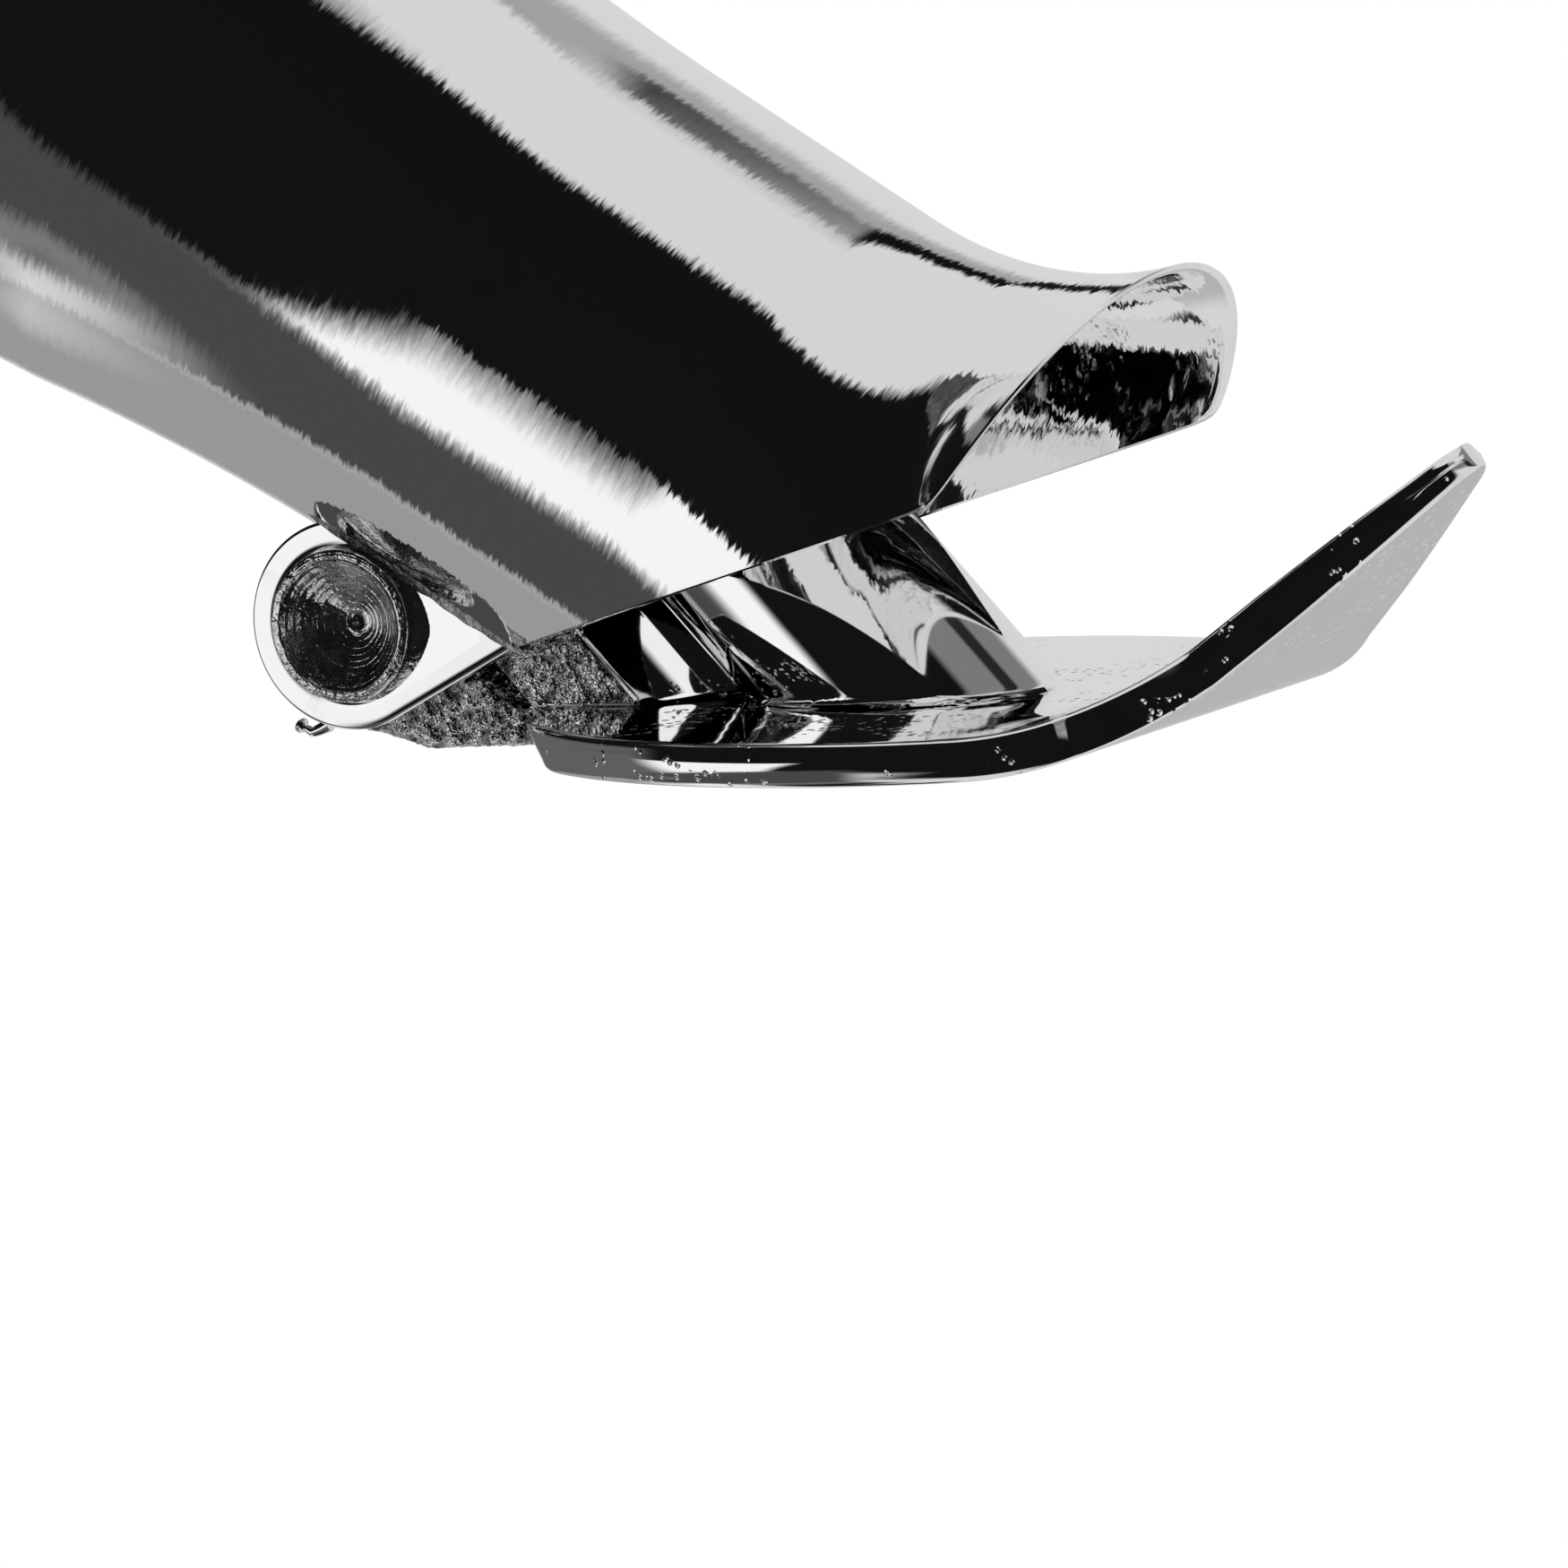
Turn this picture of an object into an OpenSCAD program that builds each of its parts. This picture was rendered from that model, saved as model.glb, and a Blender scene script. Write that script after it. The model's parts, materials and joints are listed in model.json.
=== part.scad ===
// Bottle pourer: a bent spout tube on a finned stopper, with a hinged flap that falls shut over the mouth.
// Origin: on the bottle's axis, level with the bottle's rim. +Z is up, +X is the pouring side, and the hinge lies along Y.

/* [Spout tube] */
// Outside diameter of the tube near its mouth
tube_od = 12.3; // [10:0.1:14]
// Wall thickness of the tube
tube_wall = 0.55; // [0.5:0.05:0.8]
// Forward tilt of the tube's straight part, from vertical
tube_tilt = 41.5; // [36:0.5:46]
// Length of the straight part, behind the centre of the mouth
straight_len = 17; // [14:0.5:24]
// Radius of the bend, at the tube's centre line
bend_r = 19; // [16:0.5:26]
// Outside diameter of the tube's foot
foot_od = 21.6; // [18:0.2:22]
// Length of the even part of the tube before it widens towards the foot
even_len = 8.1; // [6:0.1:11]
// Radius of the lip's outward curl, in section
lip_curl_r = 8.2; // [7:0.1:12]
// How far behind the centre of the mouth the lip starts to curl
lip_start = 2.5; // [1:0.1:3.5]
// Radius that the front of the mouth is ground to
lip_ground_r = 5; // [4:0.1:7]
// How far in front of the centre of the mouth that grinding starts
lip_ground_x = 4.7; // [3:0.1:6]

/* [Hinge] */
// Distance of the hinge pin behind the centre of the mouth, along the tube
pin_back = 8.18; // [8:0.01:9.5]
// Height of the hinge pin's centre above the tube's surface
pin_height = 0.7; // [0.7:0.02:1.4]
// Diameter of the rivet's shank
pin_d = 1.4; // [1:0.05:1.6]
// Running clearance between the rivet and the flap's knuckle, at the radius
pin_clearance = 0.06; // [0.02:0.01:0.1]
// Diameter of the rivet's heads
rivet_head_d = 3.2; // [2.8:0.1:3.6]
// How far each rivet head stands out of its lug
rivet_head_t = 0.32; // [0.2:0.02:0.5]
// Radius of the round end of each lug
lug_r = 2.2; // [1.95:0.01:2.6]
// Thickness of each lug
lug_t = 0.75; // [0.65:0.05:1]
// Gap between the two lugs
lug_gap = 5; // [4:0.1:6]
// Side clearance between a lug and the knuckle
side_clearance = 0.1; // [0.05:0.01:0.15]
// Radius of the flap's knuckle
knuckle_r = 1.25; // [1.2:0.05:1.35]
// Clearance between the knuckle and the end of the slot that is cut for it in the back of the tube
slot_clearance = 0.4; // [0.2:0.05:1]

/* [Flap] */
// How far the flap stands open at rest
open_angle = 16.2; // [0:0.1:40]
// Thickness of the flap's plate
plate_t = 0.9; // [0.7:0.05:1.2]
// Clearance between the closed flap and the mouth
close_gap = 0.26; // [0.1:0.01:0.3]
// Width of the flap's oval
plate_w = 15.6; // [14:0.1:18]
// Length of the flap's oval, if it were whole
plate_len = 18; // [17:0.1:20]
// Distance of the oval's centre from the hinge pin
plate_x = 12; // [11.2:0.1:13.6]
// Distance of the plate's straight back edge from the hinge pin
plate_back = 4.6; // [4.2:0.1:5]
// Distance from the hinge pin at which the plate starts to curve over the lip
curve_x = 15.8; // [15.6:0.1:17.6]
// Radius of that curve, on the inner face
curve_r = 6.2; // [6:0.1:9]
// Angle that it curves through
curve_angle = 39.5; // [30:0.5:45]
// Length of the straight end of the tongue
tongue_len = 5.9; // [4:0.1:8]
// Width of the tongue where it leaves the oval
tongue_w = 8.6; // [6:0.1:10]
// Width of the tongue's rounded tip
tip_w = 2.4; // [1.6:0.1:4]
// Diameter of the round plug
plug_d = 5; // [4:0.1:6]
// Depth that the plug reaches into the tube
plug_depth = 6.2; // [3:0.1:7]
// Side clearance between the raised block behind the plug and the slot in the tube
block_clearance = 0.2; // [0.15:0.05:0.5]
// Depth that the block reaches into the tube
block_depth = 3.4; // [2:0.1:4]

/* [Collar and stopper] */
// Outside diameter of the collar
collar_od = 24; // [22.4:0.1:28]
// Height of the collar
collar_h = 4.4; // [3.5:0.1:6]
// Thickness of the stopper's flange
flange_t = 1.6; // [1:0.1:2.5]
// Diameter over the stopper's fins
fin_od = 19.6; // [18.6:0.1:21]
// Diameter of the stopper between its fins
stopper_core_od = 15.4; // [14.6:0.1:16.4]
// Number of fins below the flange
fin_count = 5; // [3:1:7]
// Thickness of each fin at its edge
fin_t = 1.4; // [1:0.1:2]
// Distance from one fin to the next
fin_pitch = 5.2; // [4:0.1:7]
// Length of the tapered nose below the last fin
nose_len = 4; // [2:0.5:8]
// Outside diameter of the core sleeve
sleeve_od = 12; // [11:0.1:12.6]
// Wall thickness of the core sleeve
sleeve_wall = 0.6; // [0.5:0.05:0.8]
// Length of the core sleeve that stands out below the stopper
sleeve_tail = 3; // [2:0.5:6]

/* [Breather tube] */
// Outside diameter of the breather tube
air_od = 2.6; // [2.2:0.1:3]
// Wall thickness of the breather tube
air_wall = 0.3; // [0.2:0.05:0.4]
// Length of the breather tube that hangs out below the core sleeve
air_tail = 12; // [6:1:40]
// Distance of the breather tube's upper end behind the centre of the mouth
air_stop = 14; // [12:0.5:16]

/* [Hidden] */
$fn = 72;
around = 60;                    // points round each ring of the tube
bend_rings = 9;                 // rings along the bend
even_rings = 8;                 // rings along the straight part
lip_rings = 8;                  // rings along the curled lip
air_press = 0.02;               // how far the breather is pressed into the sleeve's wall
wide = 60;                      // larger than anything that it cuts

tube_r = tube_od / 2;
bore_r = tube_r - tube_wall;
foot_z = flange_t + collar_h;   // the tube's foot stands on the collar
bend_len = bend_r * tube_tilt * PI / 180;
path_len = straight_len + bend_len;
lip_reach = 0.72 * lip_curl_r;  // axial length of the curled lip
rim_wall = 0.22;                // the wall is drawn thinner at the lip

mouth = [bend_r * (1 - cos(tube_tilt)) + straight_len * sin(tube_tilt),
         foot_z + bend_r * sin(tube_tilt) + straight_len * cos(tube_tilt)];
pin_off = tube_r + pin_height;
pin = mouth + [-pin_back * sin(tube_tilt) - pin_off * cos(tube_tilt),
               -pin_back * cos(tube_tilt) + pin_off * sin(tube_tilt)];
mouth_over_pin = mouth[1] - pin[1];
pin_to_mouth = mouth[0] - pin[0];
plate_z = mouth_over_pin + close_gap;         // inner face of the closed flap, above the pin
lug_out = lug_gap / 2 + lug_t;
knuckle_w = lug_gap - 2 * side_clearance;
slot_len = pin_back + knuckle_r + slot_clearance;
block_w = lug_gap - 2 * block_clearance;
lug_tip_r = 0.2;
cone_r = 0.42 * rivet_head_d;                 // the cone spun into each head
cone_tip_r = 0.25;
cone_depth = 0.85;
sink_r = 0.47 * rivet_head_d;                 // the countersink that each head is spun into
sink_depth = 0.55;

sleeve_r = sleeve_od / 2;
stopper_bottom = -fin_t - (fin_count - 1) * fin_pitch - nose_len;
sleeve_bottom = stopper_bottom - sleeve_tail;
locate_h = 0.8;                               // the collar's upstand inside the tube's foot
locate_clearance = 0.6;                       // between the upstand and the inside of the foot
air_off = sleeve_r - sleeve_wall - air_od / 2 + air_press;
air_clearance = 0.03;           // between the breather and the wall of the spout's bore

// Distance that the tube's surface stands off its centre line, at a distance s behind the centre of the mouth.
function widening(s) = s > even_len
    ? (foot_od / 2 - tube_r) * pow((s - even_len) / (path_len - even_len), 2) : 0;
function curl(s) = s < lip_start
    ? lip_curl_r - sqrt(pow(lip_curl_r, 2) - pow(lip_start - s, 2)) : 0;
// The lip curls most at the front and not at all at the back.
function front_share(a) = pow((1 + cos(a)) / 2, 1.5);
function wall_at(s) = s < lip_start
    ? max(rim_wall, tube_wall - (tube_wall - rim_wall) * (lip_start - s) / lip_reach * 1.6) : tube_wall;
function surface_r(s, a, inset) = tube_r + widening(s) + curl(s) * front_share(a) - inset;

// Centre line of the tube: its place and its tilt, at a distance s behind the centre of the mouth.
function tilt_at(s) = s <= straight_len ? tube_tilt : tube_tilt - (s - straight_len) / bend_r * 180 / PI;
function centre_at(s) = s <= straight_len
    ? mouth - s * [sin(tube_tilt), cos(tube_tilt)]
    : [bend_r * (1 - cos(tilt_at(s))), foot_z + bend_r * sin(tilt_at(s))];
function ring(s, inner) = [for (i = [0 : around - 1])
    let (a = 360 * i / around, r = surface_r(s, a, inner ? wall_at(s) : 0), t = tilt_at(s), c = centre_at(s))
    [c[0] + r * cos(a) * cos(t), r * sin(a), c[1] - r * cos(a) * sin(t)]];
stations = concat(
    [for (i = [0 : bend_rings - 1]) path_len - bend_len * i / bend_rings],
    [for (i = [0 : even_rings - 1]) straight_len - (straight_len - lip_start) * i / even_rings],
    [for (i = [0 : lip_rings]) lip_start - lip_reach * i / lip_rings]);

// One closed skin through all the rings.
module tube_skin(inner) {
    n = len(stations);
    points = [for (s = stations) each ring(s, inner)];
    sides = [for (k = [0 : n - 2]) for (i = [0 : around - 1])
        [k * around + i, (k + 1) * around + i, (k + 1) * around + (i + 1) % around, k * around + (i + 1) % around]];
    foot = [[for (i = [0 : around - 1]) i]];
    tip = [[for (i = [around - 1 : -1 : 0]) (n - 1) * around + i]];
    polyhedron(points = points, faces = concat(foot, sides, tip), convexity = 6);
}

// Puts a shape drawn in the XZ plane, centred on y, to a width.
module across(width, y = 0) {
    translate([0, y + width / 2, 0]) rotate([90, 0, 0]) linear_extrude(width) children();
}
// Carries a shape into the tube's own frame: x outwards at the back, z along the tube to the mouth's centre.
module along_tube() {
    translate([mouth[0], 0, mouth[1]]) rotate([0, tube_tilt, 0]) children();
}
module at_pin() {
    translate([pin[0], 0, pin[1]]) children();
}
module y_cylinder(r, length, y = 0) {
    translate([0, y, 0]) rotate([90, 0, 0]) cylinder(r = r, h = length, center = true);
}

// Everything above the mouth: level, then ground round at the front.
module mouth_cut() {
    steps = 16;
    x0 = mouth[0] + lip_ground_x;
    z0 = mouth[1];
    across(wide) polygon(concat(
        [[mouth[0] - wide / 2, z0]],
        [for (i = [0 : steps]) let (a = 90 * i / steps)
            [x0 + lip_ground_r * sin(a), z0 - lip_ground_r * (1 - cos(a))]],
        [[x0 + lip_ground_r, z0 - wide / 2], [mouth[0] + wide / 2, z0 - wide / 2],
         [mouth[0] + wide / 2, z0 + wide / 2], [mouth[0] - wide / 2, z0 + wide / 2]]));
}

module spout_tube() {
    color("gainsboro") difference() {
        tube_skin(false);
        tube_skin(true);
        mouth_cut();
        // the slot that the flap's knuckle and block swing through
        along_tube() translate([-wide / 2, 0, wide / 2 - slot_len])
            cube([wide, lug_gap, wide], center = true);
    }
}

// A plain round body along the tube's even part, which the lugs are fitted to.
module even_body(r) {
    along_tube() translate([0, 0, -even_len - 6]) cylinder(r = r, h = wide / 2);
}

// Outline round two circles, the first the larger, with straight sides tangent to both.
function round_outline(c1, r1, c2, r2, steps) =
    let (d = c2 - c1, way = atan2(d[1], d[0]), lean = acos((r1 - r2) / norm(d)))
    concat([for (i = [0 : steps]) let (a = way + lean + (360 - 2 * lean) * i / steps) c1 + r1 * [cos(a), sin(a)]],
           [for (i = [0 : steps / 4]) let (a = way - lean + 2 * lean * i / (steps / 4)) c2 + r2 * [cos(a), sin(a)]]);

module lug_outline() {
    tip_off = sqrt(pow(tube_r, 2) - pow(lug_out, 2));
    tip = mouth - pin - [tip_off / cos(tube_tilt) + lug_tip_r * tan(tube_tilt), lug_tip_r];
    polygon(round_outline([0, 0], lug_r, tip, lug_tip_r, 40));
}

module hinge_lug(side) {
    y_in = side * lug_gap / 2;
    difference() {
        at_pin() across(lug_t, side * (lug_gap + lug_t) / 2) lug_outline();
        even_body(tube_r + widening(pin_back + lug_r));
        at_pin() y_cylinder(pin_d / 2, wide);
        at_pin() translate([0, y_in, 0]) rotate([-90 * side, 0, 0]) translate([0, 0, lug_t - sink_depth])
            cylinder(r1 = pin_d / 2, r2 = sink_r, h = sink_depth);
    }
}

module left_hinge_lug() {
    color("gainsboro") hinge_lug(1);
}
module right_hinge_lug() {
    color("gainsboro") hinge_lug(-1);
}

// A thin fillet along the outer foot of each lug.
module lug_braze() {
    spread = 0.5;
    rise = 0.3;
    beside_head = 0.1;
    edge_t = 0.1;
    foot_off = sqrt(pow(tube_r, 2) - pow(lug_out, 2));
    edge_off = sqrt(pow(tube_r, 2) - pow(lug_out + spread, 2));
    fillet_len = 1.9;
    color("silver") for (side = [-1, 1])
        along_tube() translate([0, 0, -pin_back + rivet_head_d / 2 + beside_head]) linear_extrude(fillet_len)
            polygon([[-foot_off - rise, side * lug_out], [-foot_off, side * lug_out],
                     [-edge_off, side * (lug_out + spread)], [-edge_off - edge_t, side * (lug_out + spread)]]);
}

// The shank, and at each end a head spun into the lug's countersink round a cone.
module hinge_rivet() {
    color("silver") at_pin() difference() {
        union() {
            y_cylinder(pin_d / 2, 2 * lug_out);
            for (side = [-1, 1]) translate([0, side * lug_out, 0]) rotate([-90 * side, 0, 0]) {
                cylinder(d = rivet_head_d, h = rivet_head_t);
                translate([0, 0, -sink_depth]) cylinder(r1 = pin_d / 2, r2 = sink_r, h = sink_depth);
            }
        }
        for (side = [-1, 1]) translate([0, side * (lug_out + rivet_head_t), 0]) rotate([90 * side, 0, 0])
            cylinder(r1 = cone_r, r2 = cone_tip_r, h = cone_depth);
    }
}

// Side view of the flap's plate, closed, measured from the pin: level, then curved, then the straight tongue.
module plate_side() {
    steps = 12;
    top = plate_z + plate_t;
    function curve(r, a) = [curve_x + r * sin(a), plate_z - curve_r + r * cos(a)];
    along = tongue_len * [cos(curve_angle), -sin(curve_angle)];
    polygon(concat(
        [[plate_back, plate_z]],
        [for (i = [0 : steps]) curve(curve_r, curve_angle * i / steps)],
        [curve(curve_r, curve_angle) + along, curve(curve_r + plate_t, curve_angle) + along],
        [for (i = [steps : -1 : 0]) curve(curve_r + plate_t, curve_angle * i / steps)],
        [[plate_back, top]]));
}

// Plan of the flap: an oval with a straight back edge, and a tongue that narrows to a round tip.
module plate_plan() {
    tip_x = curve_x + (curve_r + plate_t) * sin(curve_angle) + tongue_len * cos(curve_angle);
    intersection() {
        polygon([for (a = [0 : 5 : 355]) [plate_x + plate_len / 2 * cos(a), plate_w / 2 * sin(a)]]);
        translate([plate_back, -wide / 2]) square(wide);
    }
    polygon(round_outline([curve_x + 2, 0], tongue_w / 2, [tip_x - tip_w / 2, 0], tip_w / 2, 32));
}

// The knuckle and the arm that joins it to the plate. Its face towards the tube is tangent to the knuckle.
module knuckle_side() {
    foot = knuckle_r * [cos(tube_tilt), -sin(tube_tilt)];
    up = (plate_z - foot[1]) / cos(tube_tilt);
    circle(r = knuckle_r);
    polygon([foot, foot + up * [sin(tube_tilt), cos(tube_tilt)], [plate_back + 1, plate_z],
             [plate_back + 1, plate_z + plate_t], [1.2, plate_z + plate_t + 0.15], [-0.6, plate_z + 0.45],
             [-knuckle_r - 0.35, plate_z - 0.7], [-knuckle_r - 0.35, 0.4], [-knuckle_r * 0.95, -0.38]]);
}

// Plan of the raised block: parallel flanks, and two front faces that meet at the plug.
module block_plan() {
    block_front = plate_back + 1.6;
    polygon([[plate_back - 0.9, -block_w / 2], [block_front, -block_w / 2], [block_front + 1.9, 0],
             [block_front, block_w / 2], [plate_back - 0.9, block_w / 2]]);
}

// Leans what is drawn on the closed plate's inner face over to the tube's tilt.
module into_bore(depth) {
    multmatrix([[1, 0, tan(tube_tilt), 0], [0, 1, 0, 0], [0, 0, 1, 0]])
        translate([0, 0, -depth]) linear_extrude(depth + plate_t / 2) children();
}

module flap() {
    plug_x = pin_to_mouth + 0.5;
    color("gainsboro") at_pin() rotate([0, -open_angle, 0]) difference() {
        union() {
            intersection() {
                across(wide) plate_side();
                linear_extrude(wide, center = true) plate_plan();
            }
            across(knuckle_w) knuckle_side();
            translate([plug_x, 0, plate_z]) rotate([0, tube_tilt, 0]) intersection() {
                translate([0, 0, -plug_depth]) cylinder(d = plug_d, h = 2 * plug_depth);
                rotate([0, -tube_tilt, 0]) translate([-wide / 2, -wide / 2, plate_t / 2 - wide]) cube(wide);
            }
            translate([0, 0, plate_z]) into_bore(block_depth) block_plan();
        }
        y_cylinder(pin_d / 2 + pin_clearance, wide);
    }
}

// The ring that the tube's foot is seated on.
module collar_ring() {
    edge = 0.5;
    color("gainsboro") translate([0, 0, flange_t]) difference() {
        union() {
            rotate_extrude() polygon([[0, 0], [collar_od / 2 - edge, 0], [collar_od / 2, edge],
                [collar_od / 2, collar_h - edge], [collar_od / 2 - edge, collar_h], [0, collar_h]]);
            cylinder(r = tube_r + widening(path_len - locate_h) - tube_wall - locate_clearance, h = collar_h + locate_h);
        }
        translate([0, 0, -1]) cylinder(r = sleeve_r, h = collar_h + locate_h + 2);
    }
}

// Soft stopper: a flange on the bottle's rim, fins that grip the neck, and a tapered nose.
module finned_stopper() {
    root = 0.5;
    color("dimgray") difference() {
        union() {
            cylinder(d = collar_od - 0.6, h = flange_t);
            translate([0, 0, stopper_bottom + nose_len]) cylinder(d = stopper_core_od, h = -stopper_bottom - nose_len + flange_t / 2);
            translate([0, 0, stopper_bottom]) cylinder(d1 = sleeve_od + 1.6, d2 = stopper_core_od, h = nose_len);
            for (i = [0 : fin_count - 1]) translate([0, 0, -fin_t - i * fin_pitch]) {
                cylinder(d = fin_od, h = fin_t);
                translate([0, 0, -root]) cylinder(d1 = stopper_core_od, d2 = fin_od, h = root);
            }
        }
        translate([0, 0, stopper_bottom - 1]) cylinder(r = sleeve_r, h = flange_t - stopper_bottom + 2);
    }
}

// Metal tube through the stopper, with a rolled bead that keeps the stopper on.
module core_sleeve() {
    bead_r = 0.6;
    top = flange_t + collar_h + locate_h;
    color("silver") difference() {
        union() {
            translate([0, 0, sleeve_bottom]) cylinder(r = sleeve_r, h = top - sleeve_bottom);
            translate([0, 0, stopper_bottom - bead_r]) rotate_extrude()
                translate([sleeve_r, 0]) circle(r = bead_r, $fn = 24);
        }
        translate([0, 0, sleeve_bottom - 1]) cylinder(r = sleeve_r - sleeve_wall, h = top - sleeve_bottom + 2);
    }
}

// One thin tube: straight down through the sleeve, round the bend, and up the back of the spout.
air_stations = concat([path_len + foot_z - sleeve_bottom + air_tail, path_len + foot_z],
    [for (i = [0 : bend_rings]) path_len - bend_len * i / bend_rings], [air_stop]);
air_sides = 16;
function air_off_at(s) = s > path_len ? air_off
    : min(air_off, bore_r + widening(s) - air_od / 2 - air_clearance);
function air_ring(s, r) = [for (i = [0 : air_sides - 1])
    let (a = 360 * i / air_sides, t = s > path_len ? 0 : tilt_at(s), x = r * cos(a) - air_off_at(s),
         c = s > path_len ? [0, foot_z - (s - path_len)] : centre_at(s))
    [c[0] + x * cos(t), r * sin(a), c[1] - x * sin(t)]];

module breather_tube() {
    n = len(air_stations);
    m = air_sides;
    points = concat([for (s = air_stations) each air_ring(s, air_od / 2)],
                    [for (s = air_stations) each air_ring(s, air_od / 2 - air_wall)]);
    outer = [for (k = [0 : n - 2]) for (i = [0 : m - 1]) let (j = (i + 1) % m)
        [k * m + i, (k + 1) * m + i, (k + 1) * m + j, k * m + j]];
    inner = [for (f = outer) [for (k = [3 : -1 : 0]) f[k] + n * m]];
    low = [for (i = [0 : m - 1]) let (j = (i + 1) % m) [i, j, j + n * m, i + n * m]];
    high = [for (f = low) [for (k = [3 : -1 : 0]) f[k] + (n - 1) * m]];
    color("silver") polyhedron(points = points, faces = concat(outer, inner, low, high), convexity = 6);
}

spout_tube();
left_hinge_lug();
right_hinge_lug();
lug_braze();
hinge_rivet();
flap();
collar_ring();
finned_stopper();
core_sleeve();
breather_tube();
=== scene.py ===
import json
import math

import bmesh
import bpy
from mathutils import Matrix, Vector, noise


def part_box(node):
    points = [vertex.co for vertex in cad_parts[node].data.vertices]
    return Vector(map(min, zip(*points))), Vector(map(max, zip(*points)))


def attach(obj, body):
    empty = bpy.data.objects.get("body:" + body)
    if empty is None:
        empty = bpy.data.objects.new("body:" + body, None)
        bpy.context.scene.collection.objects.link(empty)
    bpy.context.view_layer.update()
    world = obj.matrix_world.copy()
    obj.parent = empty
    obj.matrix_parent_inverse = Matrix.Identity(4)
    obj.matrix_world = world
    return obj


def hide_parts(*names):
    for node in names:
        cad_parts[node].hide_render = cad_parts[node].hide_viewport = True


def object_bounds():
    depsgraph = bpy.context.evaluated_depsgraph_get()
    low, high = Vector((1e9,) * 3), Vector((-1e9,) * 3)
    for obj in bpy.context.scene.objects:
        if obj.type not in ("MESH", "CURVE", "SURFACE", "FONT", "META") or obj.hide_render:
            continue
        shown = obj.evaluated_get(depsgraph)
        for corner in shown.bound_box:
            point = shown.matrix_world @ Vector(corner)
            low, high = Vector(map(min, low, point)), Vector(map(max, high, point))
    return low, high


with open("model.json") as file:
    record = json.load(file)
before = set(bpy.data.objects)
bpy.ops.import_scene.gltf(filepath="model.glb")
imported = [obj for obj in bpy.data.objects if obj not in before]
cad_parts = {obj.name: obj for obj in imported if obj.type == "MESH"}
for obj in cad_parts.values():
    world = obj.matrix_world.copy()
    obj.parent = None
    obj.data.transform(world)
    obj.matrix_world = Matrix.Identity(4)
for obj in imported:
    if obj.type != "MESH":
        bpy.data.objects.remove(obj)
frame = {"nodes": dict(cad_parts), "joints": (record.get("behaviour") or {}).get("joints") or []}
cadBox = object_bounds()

mm = 0.001
yAxis = Vector((0, 1, 0))
print("frame loaded:", len(frame["nodes"]), "nodes")


# camera, held upside down to look at the pouring end
view = {
    "swing": 28.5,       # degrees from +Y towards +X
    "roll": 18.3,        # degrees that the upside-down view is turned
    "width": 32.31 * mm,     # field width at the object
    "lens": 600,
    "sensor": 36,
    "mouthRight": 1.71 * mm,     # where the mouth's centre lies, from the middle of the view
    "mouthUp": 5.18 * mm,
}


def placeCamera(mouth):
    swing = math.radians(view["swing"])
    roll = math.radians(view["roll"])
    towards = Vector((math.sin(swing), math.cos(swing), 0))
    side = Vector((math.cos(swing), -math.sin(swing), 0))
    down = Vector((0, 0, -1))
    right = math.cos(roll) * side - math.sin(roll) * down
    up = math.sin(roll) * side + math.cos(roll) * down
    target = mouth - view["mouthRight"] * right - view["mouthUp"] * up
    distance = view["width"] * view["lens"] / view["sensor"]
    camera = bpy.data.objects.new("camera", bpy.data.cameras.new("camera"))
    bpy.context.collection.objects.link(camera)
    camera.data.lens = view["lens"]
    camera.data.sensor_width = view["sensor"]
    camera.data.clip_start = 0.02
    camera.data.clip_end = 20
    turn = Matrix((right, up, towards)).transposed().to_4x4()
    camera.matrix_world = Matrix.Translation(target + towards * distance) @ turn
    bpy.context.view_layer.update()
    bpy.context.scene.camera = camera


# helpers that turn rings of points into meshes
def finishMesh(name, body, points, faces, creaseAngle=32, uvs=None):
    mesh = bpy.data.meshes.new(name)
    mesh.from_pydata(points, [], faces)
    bm = bmesh.new()
    bm.from_mesh(mesh)
    if uvs:
        layer = bm.loops.layers.uv.new("wrap")
        bm.verts.ensure_lookup_table()
        for face in bm.faces:
            for loop in face.loops:
                loop[layer].uv = uvs[loop.vert.index]
    bmesh.ops.recalc_face_normals(bm, faces=bm.faces)
    bm.to_mesh(mesh)
    bm.free()
    mesh.shade_smooth()
    mesh.set_sharp_from_angle(angle=math.radians(creaseAngle))
    piece = bpy.data.objects.new(name, mesh)
    bpy.context.collection.objects.link(piece)
    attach(piece, body)
    return piece


def ringFaces(ringCount, around, loop=False, capEnds=False):
    faces = []
    for k in range(ringCount if loop else ringCount - 1):
        a = k * around
        b = (k + 1) % ringCount * around
        for i in range(around):
            j = (i + 1) % around
            faces.append((a + i, b + i, b + j, a + j))
    if capEnds:
        faces.append(tuple(range(around)))
        faces.append(tuple(range((ringCount - 1) * around, ringCount * around)))
    return faces


def fromRings(name, body, rings, loop=False, capEnds=False, creaseAngle=32, uvs=None):
    points = [p for ring in rings for p in ring]
    faces = ringFaces(len(rings), len(rings[0]), loop, capEnds)
    return finishMesh(name, body, points, faces, creaseAngle, uvs)


def turned(name, body, profile, steps=160, creaseAngle=32, place=None, wobble=None):
    # turns (radius, height) points round Z, or round another axis through place(radius, angle, height)
    rings = []
    for r, h in profile:
        ring = []
        for i in range(steps):
            a = math.tau * i / steps
            q = r + (wobble(r, h, a) if wobble else 0)
            ring.append(place(q, a, h) if place else Vector((q * math.cos(a), q * math.sin(a), h)))
        rings.append(ring)
    return fromRings(name, body, rings, loop=profile[0][0] > 1e-6, creaseAngle=creaseAngle)


def arc(centre, radius, start, end, steps):
    # points on an arc, angles in degrees
    out = []
    for i in range(steps + 1):
        a = math.radians(start + (end - start) * i / steps)
        out.append((centre[0] + radius * math.cos(a), centre[1] + radius * math.sin(a)))
    return out


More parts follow.
